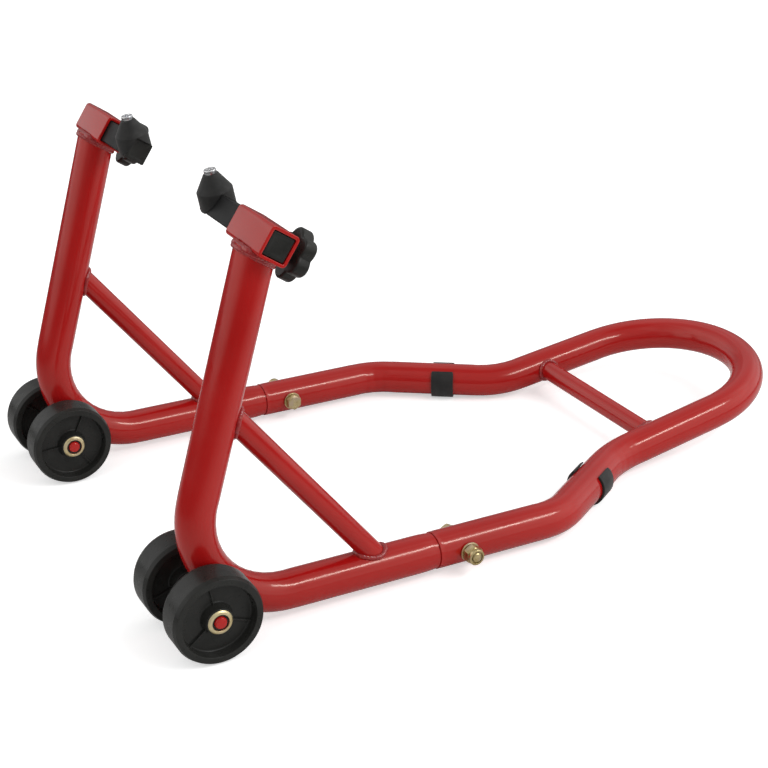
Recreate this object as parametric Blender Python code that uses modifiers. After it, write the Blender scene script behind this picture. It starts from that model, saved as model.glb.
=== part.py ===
"""Rear paddock stand for a motorcycle.

Two bent side tubes, each an upright that turns through a large bend into a rail along the floor, plug into
one looped handle tube and are held by a bolt on each side. Each upright carries a square socket, in which a
square arm with a cone-topped rubber bobbin slides and is clamped by a star knob. Each bend carries an axle
with a wheel on both sides of the tube, and two rubber pads are clipped under the handle tube.

Metres. X runs from the wheels to the handle, Y runs across the stand to its left side, and Z is up from the
floor. The origin is on the floor, in the middle of the stand's length and width.
"""

import math

import bmesh
import bpy
from mathutils import Matrix, Vector

# Clearance between pieces that touch, how far cutters run past what they cut, and the overlap of joined shapes.
GAP = 0.0003
CUT_PAST = 0.002
HOLE_REACH = 0.05
JOIN_OVERLAP = 0.001

# Main tubing.
TUBE_RADIUS = 0.019
TUBE_WALL = 0.002
TUBE_SIDES = 16
SIDE_Y = 0.2056
RAIL_Z = 0.0255

# Side tube: an upright that leans towards the handle, one bend, and a level rail. X values are from the axle.
CORNER_X = -0.0280
UPRIGHT_LEAN = math.radians(15.65)
UPRIGHT_TOP_Z = 0.385
TRIM_BLOCK = 0.09
BEND_RADIUS = 0.090
SEAM_X = 0.2478
SPIGOT_RADIUS = 0.0165
SPIGOT_BORE = 0.0145
SPIGOT_LENGTH = 0.060
SWAGE_LENGTH = 0.0010
BORE_STEP = 0.004

# Handle tube: level sides that turn inwards to a neck, then a gently rising loop.
SHOULDER_X = 0.3976
SHOULDER_RADIUS = 0.070
NECK_X = 0.5267
NECK_RADIUS = 0.095
NECK_TO_LOOP = 0.1402
LOOP_RADIUS = 0.1148
LOOP_TAPER = math.radians(2.0)
HANDLE_RISE = math.radians(9.5)
LOOP_STEPS = 14
BEND_STEPS = 5

# Diagonal brace in each side, and the bar across the handle.
BRACE_RADIUS = 0.0112
BRACE_WALL = 0.0018
BRACE_SIDES = 14
BRACE_TOP_Z = 0.2296
BRACE_FOOT_X = 0.194
CROSS_BAR_X = 0.5855
CROSS_BAR_RADIUS = 0.011

# Wheels and axle.
WHEEL_RADIUS = 0.044
WHEEL_WIDTH = 0.0325
WHEEL_MIDDLES = {"outer": 0.2415, "inner": 0.1663}
WHEEL_STEPS = 28
RIM_ROUND = 0.0045
RIM_LIP_RADIUS = 0.0362
WEB_RADIUS = 0.0347
RECESS_DEPTH = 0.010
HUB_BASE_RADIUS = 0.0155
HUB_TIP_RADIUS = 0.0130
AXLE_RADIUS = 0.006
AXLE_OVERHANG = 0.0035
AXLE_CHAMFER = 0.0010
RETAINER_RADIUS = 0.012
RETAINER_THICKNESS = 0.0015

# Square socket on top of each upright, tilted towards the handle.
SOCKET_X = 0.0765
SOCKET_Y = 0.2030
SOCKET_Z = 0.3788
SOCKET_TILT = math.radians(33.3)
SOCKET_SIDE = 0.030
SOCKET_WALL = 0.003
SOCKET_LENGTH = 0.0700
SOCKET_ROUND = 0.0040
SOCKET_INNER_ROUND = 0.0012

# Sliding arm, its end plugs and its bobbin. Heights are from the arm's middle, along the bobbin's axis.
ARM_SIDE = 0.0225
ARM_WALL = 0.002
ARM_ROUND = 0.0015
ARM_INNER_Y = 0.1000
ARM_OUTER_Y = 0.2350
PLUG_HEAD = 0.0018
PLUG_SHANK = 0.0035
BOBBIN_Y = 0.1073
BOBBIN_RADIUS = 0.0168
BOBBIN_BOTTOM = -0.001
BOBBIN_SHOULDER = 0.0165
BOBBIN_TOP = 0.0320
BOBBIN_TOP_RADIUS = 0.0071
BOBBIN_STEPS = 24
BOBBIN_SCREW_HEAD_RADIUS = 0.0058
BOBBIN_SCREW_HEAD = 0.0040
BOBBIN_SCREW_CHAMFER = 0.0004
BOBBIN_SCREW_RADIUS = 0.003
BOBBIN_SCREW_END = 0.007
BOBBIN_SCREW_KEY = 0.0029
BOBBIN_KEY_FLOOR = 0.0018

# Clamp: a nut welded on the socket, a screw and a star knob. Distances are from the socket's middle.
CLAMP_DROP = 0.002
CLAMP_RADIUS = 0.005
HOLE_CLEARANCE = 0.0006
CLAMP_NUT_FLATS = 0.017
CLAMP_NUT_HEIGHT = 0.007
KNOB_BACK = 0.0305
KNOB_FRONT = 0.0445
KNOB_RADIUS = 0.0246
KNOB_WAIST = 0.0203
KNOB_LOBES = 6
KNOB_TURN = math.radians(5)
KNOB_HUB_BACK = 0.0250
KNOB_HUB_RADIUS = 0.0095
KNOB_POINTS_PER_LOBE = 8
KNOB_ROUND = 0.0025
CLAMP_SCREW_END = 0.0400
CLAMP_SCREW_CHAMFER = 0.0008

# Bolted joint between a side tube and the handle tube.
BOLT_X = 0.2795
BOLT_RADIUS = 0.005
BOLT_HEAD_FLATS = 0.016
BOLT_HEAD_HEIGHT = 0.0064
BOLT_TAIL = 0.0006
WASHER_RADIUS = 0.0102
WASHER_THICKNESS = 0.002
NUT_FLATS = 0.017
NUT_HEIGHT = 0.0125
NUT_HEX_HEIGHT = 0.0088
NUT_COLLAR_RADIUS = 0.0084
NUT_COLLAR_CHAMFER = 0.0012
HEX_CHAMFER = 0.0005
BOLT_TIP_CHAMFER = 0.0006

# Rubber pad clipped under the handle tube.
PAD_ALONG = 0.087
PAD_LENGTH = 0.0265
PAD_LIP_ANGLE = math.radians(48)
PAD_RADIUS = 0.0219
PAD_STEPS = 28

# The rails are level in the dimensions above. On its pads, the whole stand is turned down about the axle.
STANCE_ANGLE = math.radians(0.5)

# Places that follow from the driving dimensions.
HANDLE_REACH = NECK_TO_LOOP * math.cos(LOOP_TAPER) + LOOP_RADIUS * (1 - math.sin(LOOP_TAPER))
LOOP_END_X = NECK_X + HANDLE_REACH * math.cos(HANDLE_RISE)
LOOP_END_Z = RAIL_Z + HANDLE_REACH * math.sin(HANDLE_RISE)
STANDING_END_X = LOOP_END_X * math.cos(STANCE_ANGLE) + (LOOP_END_Z - WHEEL_RADIUS) * math.sin(STANCE_ANGLE)
LENGTH = WHEEL_RADIUS + STANDING_END_X + TUBE_RADIUS
AXLE_X = WHEEL_RADIUS - LENGTH / 2
AXLE_POINT = Vector((AXLE_X, 0, WHEEL_RADIUS))
STANCE = (
    Matrix.Translation(AXLE_POINT) @ Matrix.Rotation(STANCE_ANGLE, 4, "Y") @ Matrix.Translation(-AXLE_POINT)
)
NECK_Y = LOOP_RADIUS * math.cos(LOOP_TAPER) + NECK_TO_LOOP * math.sin(LOOP_TAPER)
SIDES = {"left": 1, "right": -1}


def clear_scene():
    for obj in list(bpy.data.objects):
        bpy.data.objects.remove(obj)


def new_collection(name):
    collection = bpy.data.collections.new(name)
    bpy.context.scene.collection.children.link(collection)
    return collection


def material(name, colour, roughness, metallic=0.0):
    finish = bpy.data.materials.new(name)
    finish.use_nodes = True
    shader = finish.node_tree.nodes["Principled BSDF"]
    shader.inputs["Base Color"].default_value = (*colour, 1.0)
    shader.inputs["Roughness"].default_value = roughness
    shader.inputs["Metallic"].default_value = metallic
    return finish


clear_scene()
STAND = new_collection("paddock_stand")
CUTTERS = new_collection("cutters")
RED = material("red_powder_coat", (0.42, 0.012, 0.012), 0.25)
BLACK_STEEL = material("black_powder_coat", (0.022, 0.022, 0.024), 0.45)
BLACK_PLASTIC = material("black_plastic", (0.025, 0.025, 0.024), 0.45)
RUBBER = material("black_rubber", (0.020, 0.020, 0.020), 0.70)
YELLOW_ZINC = material("yellow_zinc", (0.62, 0.50, 0.24), 0.35, 1.0)
BRIGHT_ZINC = material("bright_zinc", (0.70, 0.70, 0.70), 0.30, 1.0)


# ---------------------------------------------------------------------------------------------------------
# Modelling helpers
# ---------------------------------------------------------------------------------------------------------


def add_object(name, mesh, finish, place, cutter=False):
    """A new object at a place in the level stand, in the stand's collection or among the cutters."""
    obj = bpy.data.objects.new(name, mesh)
    (CUTTERS if cutter else STAND).objects.link(obj)
    obj.matrix_world = STANCE @ place
    if finish is not None:
        mesh.materials.append(finish)
    if cutter:
        obj.hide_render = True
        obj.display_type = "WIRE"
    if mesh.id_type == "MESH":
        mesh.shade_smooth()
        mesh.set_sharp_from_angle(angle=math.radians(35))
    return obj


def mesh_from(name, shape):
    """A mesh data block from a finished bmesh."""
    bmesh.ops.recalc_face_normals(shape, faces=shape.faces)
    mesh = bpy.data.meshes.new(name)
    shape.to_mesh(mesh)
    shape.free()
    return mesh


def cut(obj, *cutters):
    for cutter in cutters:
        modifier = obj.modifiers.new("cut_" + cutter.name, "BOOLEAN")
        modifier.operation = "DIFFERENCE"
        modifier.solver = "EXACT"
        modifier.object = cutter


def join(obj, other):
    union = obj.modifiers.new("join", "BOOLEAN")
    union.operation = "UNION"
    union.solver = "EXACT"
    union.object = other


def prism(name, radius, low, high, sides, place, finish, cutter=False, chamfer=0.0):
    """A cylinder, or with six sides a hexagonal prism, from low to high on the local Z axis."""
    shape = bmesh.new()
    lift = Matrix.Translation((0, 0, (low + high) / 2))
    bmesh.ops.create_cone(
        shape, cap_ends=True, segments=sides, radius1=radius, radius2=radius, depth=high - low, matrix=lift
    )
    if chamfer:
        caps = [face for face in shape.faces if len(face.verts) == sides]
        rims = {edge for face in caps for edge in face.edges}
        bmesh.ops.bevel(shape, geom=list(rims), offset=chamfer, segments=1, affect="EDGES")
    return add_object(name, mesh_from(name, shape), finish, place, cutter)


def box(name, size, place, finish, cutter=False, rounding=0.0, steps=3, centre=(0, 0, 0)):
    """A box whose four long edges, which run along the local Y axis, may be rounded."""
    shape = bmesh.new()
    sized = Matrix.Translation(centre) @ Matrix.Diagonal((*size, 1.0))
    bmesh.ops.create_cube(shape, size=1.0, matrix=sized)
    if rounding:
        long_edges = [
            edge for edge in shape.edges
            if abs((edge.verts[0].co - edge.verts[1].co).normalized().y) > 0.99
        ]
        bmesh.ops.bevel(shape, geom=long_edges, offset=rounding, segments=steps, profile=0.5, affect="EDGES")
    return add_object(name, mesh_from(name, shape), finish, place, cutter)


def turned(name, profile, steps, place, finish):
    """A closed profile of (radius, height) points, outer side first and downwards, turned about local Z."""
    mesh = bpy.data.meshes.new(name)
    edges = []
    for index, (radius, _) in enumerate(profile):
        after = (index + 1) % len(profile)
        if radius > 0 or profile[after][0] > 0:
            edges.append((index, after))
    mesh.from_pydata([(radius, 0, height) for radius, height in profile], edges, [])
    obj = add_object(name, mesh, finish, place)
    screw = obj.modifiers.new("turn", "SCREW")
    screw.angle = math.tau
    screw.steps = steps
    screw.render_steps = steps
    screw.use_merge_vertices = True
    screw.merge_threshold = 0.00001
    screw.use_smooth_shade = True
    return obj


def swept(name, path, radius, sides, finish, radii=None, cutter=False):
    """A round bar along a path, as a mesh. radii gives each point's own radius where it changes."""
    curve = bpy.data.curves.new(name, "CURVE")
    curve.dimensions = "3D"
    curve.bevel_depth = radius
    curve.bevel_resolution = (sides - 4) // 2
    curve.use_fill_caps = True
    spline = curve.splines.new("POLY")
    spline.points.add(len(path) - 1)
    for index, (point, place) in enumerate(zip(spline.points, path)):
        point.co = (*place, 1.0)
        point.radius = radii[index] / radius if radii else 1.0
    guide = bpy.data.objects.new(name + "_guide", curve)
    STAND.objects.link(guide)
    bpy.context.view_layer.update()
    graph = bpy.context.evaluated_depsgraph_get()
    mesh = bpy.data.meshes.new_from_object(guide.evaluated_get(graph))
    shape = bmesh.new()
    shape.from_mesh(mesh)
    bmesh.ops.remove_doubles(shape, verts=shape.verts, dist=0.00001)
    matrix = guide.matrix_world.copy()
    bpy.data.objects.remove(guide)
    return add_object(name, mesh_from(name, shape), finish, matrix, cutter)


def bend_path(corners, radii, steps):
    """The line through the corners, each inner corner rounded to its radius."""
    points = [Vector(corners[0])]
    for before, corner, after, radius in zip(corners, corners[1:], corners[2:], radii):
        corner = Vector(corner)
        back = (Vector(before) - corner).normalized()
        ahead = (Vector(after) - corner).normalized()
        half = back.angle(ahead) / 2
        middle = corner + (back + ahead).normalized() * (radius / math.sin(half))
        first = corner + back * (radius / math.tan(half)) - middle
        last = corner + ahead * (radius / math.tan(half)) - middle
        for step in range(steps + 1):
            arm = first.slerp(last, step / steps)
            points.append(middle + arm * (radius / arm.length))
    points.append(Vector(corners[-1]))
    return points


def extended(path, amount):
    """The path with both of its ends drawn out by an amount."""
    first = path[0] + (path[0] - path[1]).normalized() * amount
    last = path[-1] + (path[-1] - path[-2]).normalized() * amount
    return [first, *path[1:-1], last]


# ---------------------------------------------------------------------------------------------------------
# Paths and axes
# ---------------------------------------------------------------------------------------------------------


def upright_point(height, side):
    lean = (height - RAIL_Z) * math.tan(UPRIGHT_LEAN)
    return Vector((AXLE_X + CORNER_X + lean, side * SIDE_Y, height))


def side_tube_path(side, end_x):
    corners = [
        upright_point(UPRIGHT_TOP_Z, side),
        upright_point(RAIL_Z, side),
        Vector((AXLE_X + end_x, side * SIDE_Y, RAIL_Z)),
    ]
    return bend_path(corners, [BEND_RADIUS], 2 * BEND_STEPS)


def neck_corner(side):
    return Vector((AXLE_X + NECK_X, side * NECK_Y, RAIL_Z))


def in_handle_plane(along, across):
    """A point of the rising plane of the loop, from the middle between the neck corners."""
    rise = Vector((math.cos(HANDLE_RISE), 0, math.sin(HANDLE_RISE)))
    return Vector((AXLE_X + NECK_X, across, RAIL_Z)) + rise * along


def handle_half_path(side):
    """From the seam on one side to the start of the loop."""
    corners = [
        Vector((AXLE_X + SEAM_X + GAP, side * SIDE_Y, RAIL_Z)),
        Vector((AXLE_X + SHOULDER_X, side * SIDE_Y, RAIL_Z)),
        neck_corner(side),
        in_handle_plane(NECK_TO_LOOP * math.cos(LOOP_TAPER), side * LOOP_RADIUS * math.cos(LOOP_TAPER)),
    ]
    return bend_path(corners, [SHOULDER_RADIUS, NECK_RADIUS], BEND_STEPS)


def handle_path():
    left = handle_half_path(1)
    right = handle_half_path(-1)
    middle = NECK_TO_LOOP * math.cos(LOOP_TAPER) - LOOP_RADIUS * math.sin(LOOP_TAPER)
    sweep = math.pi - 2 * LOOP_TAPER
    loop = []
    for step in range(1, LOOP_STEPS):
        angle = LOOP_TAPER + sweep * step / LOOP_STEPS
        loop.append(in_handle_plane(middle + LOOP_RADIUS * math.sin(angle), LOOP_RADIUS * math.cos(angle)))
    return left + loop + right[::-1]


def socket_place(side):
    """The socket's middle. Local X points out of the clamp face and local Z out of the top face."""
    centre = (AXLE_X + SOCKET_X, side * SOCKET_Y, SOCKET_Z)
    return Matrix.Translation(centre) @ Matrix.Rotation(SOCKET_TILT, 4, "Y")


def clamp_place(side):
    """The clamp screw's axis, a little below the socket's middle. Local Z points out of the clamp face."""
    return socket_place(side) @ Matrix.Translation((0, 0, -CLAMP_DROP)) @ Matrix.Rotation(math.pi / 2, 4, "Y")


def arm_place(side, y):
    centre = (AXLE_X + SOCKET_X, side * y, SOCKET_Z)
    return Matrix.Translation(centre) @ Matrix.Rotation(SOCKET_TILT, 4, "Y")


def bobbin_place(side):
    """The bobbin's axis stands on the arm's upper corner edge."""
    return arm_place(side, BOBBIN_Y) @ Matrix.Rotation(-math.pi / 4, 4, "Y")


def across_place(x, z, side):
    """A cross axis at y = 0, with local Z pointing outwards on the given side."""
    return Matrix.Translation((AXLE_X + x, 0, z)) @ Matrix.Rotation(-side * math.pi / 2, 4, "X")


# ---------------------------------------------------------------------------------------------------------
# Frame
# ---------------------------------------------------------------------------------------------------------


def side_tube(name, side, bolt_hole):
    """The bent tube of one side, trimmed under its socket and swaged down where it enters the handle tube."""
    path = side_tube_path(side, SEAM_X - SWAGE_LENGTH)
    seam, spigot_end = [Vector((AXLE_X + x, side * SIDE_Y, RAIL_Z)) for x in (SEAM_X, SEAM_X + SPIGOT_LENGTH)]
    outer = [TUBE_RADIUS] * len(path) + [SPIGOT_RADIUS] * 2
    tube = swept("main_tube_" + name, [*path, seam, spigot_end], TUBE_RADIUS, TUBE_SIDES, RED, outer)
    step_back = Vector((BORE_STEP, 0, 0))
    path[-1] -= step_back
    bore_path = extended([*path, seam - step_back, spigot_end], CUT_PAST)
    inner = [TUBE_RADIUS - TUBE_WALL] * len(path) + [SPIGOT_BORE] * 2
    bore = swept("bore_main_" + name, bore_path, TUBE_RADIUS, TUBE_SIDES, None, inner, cutter=True)
    above = box(
        "trim_upright_" + name, (TRIM_BLOCK,) * 3, socket_place(side), None, cutter=True,
        centre=(0, 0, TRIM_BLOCK / 2 - SOCKET_SIDE / 2 - GAP),
    )
    cut(tube, bore, above, bolt_hole)
    return tube


def handle_tube(bolt_holes):
    path = handle_path()
    tube = swept("handle_tube", path, TUBE_RADIUS, TUBE_SIDES, RED)
    bore = swept(
        "bore_handle", extended(path, CUT_PAST), TUBE_RADIUS - TUBE_WALL, TUBE_SIDES, None, cutter=True
    )
    cut(tube, bore, *bolt_holes)
    return tube


def coped_tube(name, ends, radius, finish, around):
    """A straight tube between two points whose ends are coped to the tubes that it is welded to."""
    tube = swept(name, ends, radius, BRACE_SIDES, finish)
    bore = swept(
        "bore_" + name, extended(ends, CUT_PAST), radius - BRACE_WALL, BRACE_SIDES, None, cutter=True
    )
    cut(tube, bore, around)
    return tube


def brace(name, side):
    around = swept(
        "cope_brace_" + name, side_tube_path(side, SEAM_X), TUBE_RADIUS + GAP, TUBE_SIDES, None, cutter=True
    )
    ends = [
        upright_point(BRACE_TOP_Z, side),
        Vector((AXLE_X + BRACE_FOOT_X, side * SIDE_Y, RAIL_Z)),
    ]
    return coped_tube("brace_tube_" + name, ends, BRACE_RADIUS, RED, around)


def cross_bar():
    around = swept("cope_cross_bar", handle_path(), TUBE_RADIUS + GAP, TUBE_SIDES, None, cutter=True)
    along = (CROSS_BAR_X - NECK_X) / math.cos(HANDLE_RISE)
    across = NECK_Y - along * math.tan(LOOP_TAPER)
    ends = [in_handle_plane(along, across), in_handle_plane(along, -across)]
    return coped_tube("cross_bar", ends, CROSS_BAR_RADIUS, RED, around)


def socket(name, side):
    place = socket_place(side)
    size = (SOCKET_SIDE, SOCKET_LENGTH, SOCKET_SIDE)
    shell = box("socket_" + name, size, place, RED, rounding=SOCKET_ROUND)
    hollow = SOCKET_SIDE - 2 * SOCKET_WALL
    inside = box(
        "socket_hollow_" + name, (hollow, SOCKET_LENGTH + 2 * CUT_PAST, hollow), place, None,
        cutter=True, rounding=SOCKET_INNER_ROUND, steps=2,
    )
    hole = prism(
        "clamp_hole_" + name, CLAMP_RADIUS + HOLE_CLEARANCE, SOCKET_SIDE / 2 - SOCKET_WALL - CUT_PAST,
        HOLE_REACH, 16, clamp_place(side), None, cutter=True,
    )
    cut(shell, inside, hole)
    low = SOCKET_SIDE / 2 + GAP
    nut = prism(
        "clamp_nut_" + name, CLAMP_NUT_FLATS / math.sqrt(3), low, low + CLAMP_NUT_HEIGHT, 6,
        clamp_place(side), RED,
    )
    cut(nut, hole)


# ---------------------------------------------------------------------------------------------------------
# Wheels
# ---------------------------------------------------------------------------------------------------------


def wheel_profile():
    """One wheel's section as (radius, height) points, from its upper rim edge round to its bore and back."""
    half = WHEEL_WIDTH / 2
    floor = half - RECESS_DEPTH
    tread = []
    for height, start in ((half - RIM_ROUND, 90), (RIM_ROUND - half, 0)):
        for step in range(4):
            angle = math.radians(start - 30 * step)
            radius = WHEEL_RADIUS - RIM_ROUND * (1 - math.cos(angle))
            tread.append((radius, height + RIM_ROUND * math.sin(angle)))
    bore = AXLE_RADIUS + GAP
    lower = [(RIM_LIP_RADIUS, -half), (WEB_RADIUS, -floor), (HUB_BASE_RADIUS, -floor), (HUB_TIP_RADIUS, -half)]
    upper = [(radius, -height) for radius, height in reversed(lower)]
    return tread + lower + [(bore, -half), (bore, half)] + upper


def wheels(name, side):
    half = WHEEL_WIDTH / 2
    for where, outward in (("outer", side), ("inner", -side)):
        middle = Matrix.Translation((AXLE_X, side * WHEEL_MIDDLES[where], WHEEL_RADIUS))
        face = middle @ Matrix.Rotation(-outward * math.pi / 2, 4, "X")
        turned(f"wheel_{where}_{name}", wheel_profile(), WHEEL_STEPS, face, BLACK_PLASTIC)
        low = half + GAP
        retainer = prism(
            f"retainer_{where}_{name}", RETAINER_RADIUS, low, low + RETAINER_THICKNESS, 24, face,
            YELLOW_ZINC,
        )
        hole = prism(
            f"retainer_hole_{where}_{name}", AXLE_RADIUS + GAP, 0, HOLE_REACH, 20, face, None, cutter=True
        )
        cut(retainer, hole)
    reach = half + AXLE_OVERHANG
    prism(
        "axle_" + name, AXLE_RADIUS, WHEEL_MIDDLES["inner"] - reach, WHEEL_MIDDLES["outer"] + reach, 20,
        across_place(0, WHEEL_RADIUS, side), RED, chamfer=AXLE_CHAMFER,
    )


# ---------------------------------------------------------------------------------------------------------
# Support arms, bobbins and clamps
# ---------------------------------------------------------------------------------------------------------


def support_arm(name, side):
    length = ARM_OUTER_Y - ARM_INNER_Y
    place = arm_place(side, (ARM_OUTER_Y + ARM_INNER_Y) / 2)
    size = (ARM_SIDE, length, ARM_SIDE)
    arm = box("support_arm_" + name, size, place, BLACK_STEEL, rounding=ARM_ROUND, steps=2)
    hollow = ARM_SIDE - 2 * ARM_WALL
    inside = box(
        "arm_hollow_" + name, (hollow, length + 2 * CUT_PAST, hollow), place, None, cutter=True
    )
    screw_hole = prism(
        "bobbin_hole_" + name, BOBBIN_SCREW_RADIUS + GAP, 0, HOLE_REACH, 16, bobbin_place(side), None,
        cutter=True,
    )
    cut(arm, inside, screw_hole)
    for where, end, outward in (("outer", ARM_OUTER_Y, 1), ("inner", ARM_INNER_Y, -1)):
        plug(f"arm_plug_{where}_{name}", arm_place(side, end), side * outward, hollow - 2 * GAP)


def plug(name, place, outward, shank_side):
    """A plastic end plug: a thin head on the tube's end and a shank inside it."""
    head = box(
        name, (ARM_SIDE, PLUG_HEAD, ARM_SIDE), place, BLACK_PLASTIC, rounding=ARM_ROUND, steps=2,
        centre=(0, outward * (GAP + PLUG_HEAD / 2), 0),
    )
    overlap = PLUG_HEAD / 2
    shank = box(
        name + "_shank", (shank_side, PLUG_SHANK + overlap, shank_side), place, None, cutter=True,
        centre=(0, outward * (GAP + (overlap - PLUG_SHANK) / 2), 0),
    )
    join(head, shank)


def bobbin(name, side):
    """A rubber cylinder with a cone on top, notched underneath to sit on the arm's upper corner."""
    place = bobbin_place(side)
    profile = [
        (0, BOBBIN_TOP), (BOBBIN_TOP_RADIUS, BOBBIN_TOP), (BOBBIN_RADIUS, BOBBIN_SHOULDER),
        (BOBBIN_RADIUS, BOBBIN_BOTTOM), (0, BOBBIN_BOTTOM),
    ]
    body = turned("bobbin_" + name, profile, BOBBIN_STEPS, place, RUBBER)
    notch_side = ARM_SIDE + 2 * GAP
    notch = box(
        "bobbin_notch_" + name, (notch_side, HOLE_REACH, notch_side), arm_place(side, BOBBIN_Y), None,
        cutter=True,
    )
    hole = prism(
        "bobbin_bore_" + name, BOBBIN_SCREW_RADIUS + GAP, 0, HOLE_REACH, 16, place, None, cutter=True
    )
    cut(body, notch, hole)
    base = BOBBIN_TOP + GAP
    top = base + BOBBIN_SCREW_HEAD
    profile = [
        (0, top), (BOBBIN_SCREW_HEAD_RADIUS - BOBBIN_SCREW_CHAMFER, top),
        (BOBBIN_SCREW_HEAD_RADIUS, top - BOBBIN_SCREW_CHAMFER), (BOBBIN_SCREW_HEAD_RADIUS, base),
        (BOBBIN_SCREW_RADIUS, base), (BOBBIN_SCREW_RADIUS, BOBBIN_SCREW_END), (0, BOBBIN_SCREW_END),
    ]
    screw = turned("bobbin_screw_" + name, profile, 20, place, BRIGHT_ZINC)
    key = prism(
        "bobbin_key_" + name, BOBBIN_SCREW_KEY, base + BOBBIN_KEY_FLOOR, top + CUT_PAST, 6, place, None,
        cutter=True,
    )
    cut(screw, key)


def knob_outline(turn):
    """The star's outline: a circle whose radius swings between the lobes and the waists between them."""
    points = []
    count = KNOB_LOBES * KNOB_POINTS_PER_LOBE
    for step in range(count):
        angle = math.tau * step / count
        wave = abs(math.cos(angle * KNOB_LOBES / 2))
        radius = KNOB_WAIST + (KNOB_RADIUS - KNOB_WAIST) * wave
        points.append((radius * math.cos(angle + turn), radius * math.sin(angle + turn)))
    return points


def clamp(name, side):
    place = clamp_place(side)
    prism(
        "clamp_screw_" + name, CLAMP_RADIUS, ARM_SIDE / 2 + GAP, CLAMP_SCREW_END, 16, place, YELLOW_ZINC,
        chamfer=CLAMP_SCREW_CHAMFER,
    )
    shape = bmesh.new()
    corners = [shape.verts.new((x, y, KNOB_BACK)) for x, y in knob_outline(side * KNOB_TURN)]
    base = shape.faces.new(corners)
    grown = bmesh.ops.extrude_face_region(shape, geom=[base])["geom"]
    raised = [item for item in grown if isinstance(item, bmesh.types.BMVert)]
    bmesh.ops.translate(shape, verts=raised, vec=(0, 0, KNOB_FRONT - KNOB_BACK))
    rims = [edge for edge in shape.edges if abs(edge.verts[0].co.z - edge.verts[1].co.z) < 1e-6]
    bmesh.ops.bevel(shape, geom=rims, offset=KNOB_ROUND, segments=1, profile=0.5, affect="EDGES")
    knob = add_object("knob_" + name, mesh_from("knob_" + name, shape), BLACK_PLASTIC, place)
    hub = prism(
        "knob_hub_" + name, KNOB_HUB_RADIUS, KNOB_HUB_BACK, KNOB_BACK + KNOB_ROUND, 20, place, None,
        cutter=True,
    )
    join(knob, hub)
    bore = prism(
        "knob_bore_" + name, CLAMP_RADIUS + GAP, 0, CLAMP_SCREW_END + GAP, 16, place, None, cutter=True
    )
    cut(knob, bore)


# ---------------------------------------------------------------------------------------------------------
# Bolted joints and pads
# ---------------------------------------------------------------------------------------------------------


def bolt_hole(name, side):
    place = across_place(BOLT_X, RAIL_Z, side)
    return prism(
        "bolt_hole_" + name, BOLT_RADIUS + HOLE_CLEARANCE, SIDE_Y - HOLE_REACH, SIDE_Y + HOLE_REACH, 16,
        place, None, cutter=True,
    )


def joint_fasteners(name, side, hole):
    """A bolt from the inner side through both tubes, a washer on each side and a lock nut outside."""
    place = across_place(BOLT_X, RAIL_Z, side)
    inner_face = SIDE_Y - TUBE_RADIUS - GAP
    outer_face = SIDE_Y + TUBE_RADIUS + GAP
    washers = {"inner": inner_face - WASHER_THICKNESS, "outer": outer_face}
    for where, low in washers.items():
        washer = prism(
            f"joint_washer_{where}_{name}", WASHER_RADIUS, low, low + WASHER_THICKNESS, 24, place,
            YELLOW_ZINC,
        )
        cut(washer, hole)
    nut_low = outer_face + WASHER_THICKNESS + GAP
    nut_high = nut_low + NUT_HEIGHT
    head_high = inner_face - WASHER_THICKNESS - GAP
    bolt = prism(
        "joint_bolt_" + name, BOLT_HEAD_FLATS / math.sqrt(3), head_high - BOLT_HEAD_HEIGHT, head_high, 6,
        place, YELLOW_ZINC, chamfer=HEX_CHAMFER,
    )
    shank = prism(
        "joint_shank_" + name, BOLT_RADIUS, head_high - JOIN_OVERLAP, nut_high + BOLT_TAIL, 16, place, None,
        cutter=True, chamfer=BOLT_TIP_CHAMFER,
    )
    join(bolt, shank)
    nut = prism(
        "joint_nut_" + name, NUT_FLATS / math.sqrt(3), nut_low, nut_low + NUT_HEX_HEIGHT, 6, place,
        YELLOW_ZINC, chamfer=HEX_CHAMFER,
    )
    collar = prism(
        "joint_collar_" + name, NUT_COLLAR_RADIUS, nut_low + JOIN_OVERLAP, nut_high, 20, place, None,
        cutter=True, chamfer=NUT_COLLAR_CHAMFER,
    )
    join(nut, collar)
    nut_bore = prism(
        "nut_bore_" + name, BOLT_RADIUS + GAP, nut_low - CUT_PAST, nut_high + CUT_PAST, 16, place, None,
        cutter=True,
    )
    cut(nut, nut_bore)


def pad_outline(sole):
    """The clip's section: round inside and out, open at the top, with a flat sole at a depth below its middle."""
    inside = []
    outside = []
    sweep = math.pi + 2 * PAD_LIP_ANGLE
    for step in range(PAD_STEPS + 1):
        share = step / PAD_STEPS
        angle = PAD_LIP_ANGLE - sweep * share
        outside.append((PAD_RADIUS * math.cos(angle), max(PAD_RADIUS * math.sin(angle), -sole)))
        inside.append(((TUBE_RADIUS + GAP) * math.cos(angle), (TUBE_RADIUS + GAP) * math.sin(angle)))
    return outside + inside[::-1]


def foot_pad(name, side):
    start = Vector((AXLE_X + SHOULDER_X, side * SIDE_Y, RAIL_Z))
    along = (neck_corner(side) - start).normalized()
    centre = STANCE @ (start + along * PAD_ALONG)
    curve = bpy.data.curves.new("foot_pad_" + name, "CURVE")
    curve.dimensions = "2D"
    curve.fill_mode = "BOTH"
    curve.extrude = PAD_LENGTH / 2
    spline = curve.splines.new("POLY")
    outline = pad_outline(centre.z)
    spline.points.add(len(outline) - 1)
    for point, (x, y) in zip(spline.points, outline):
        point.co = (x, y, 0.0, 1.0)
    spline.use_cyclic_u = True
    curve.materials.append(RUBBER)
    pad = bpy.data.objects.new("foot_pad_" + name, curve)
    STAND.objects.link(pad)
    up = Vector((0, 0, 1))
    sideways = up.cross(along)
    turn = Matrix((sideways, up, sideways.cross(up))).transposed().to_4x4()
    pad.matrix_world = Matrix.Translation(centre) @ turn


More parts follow.
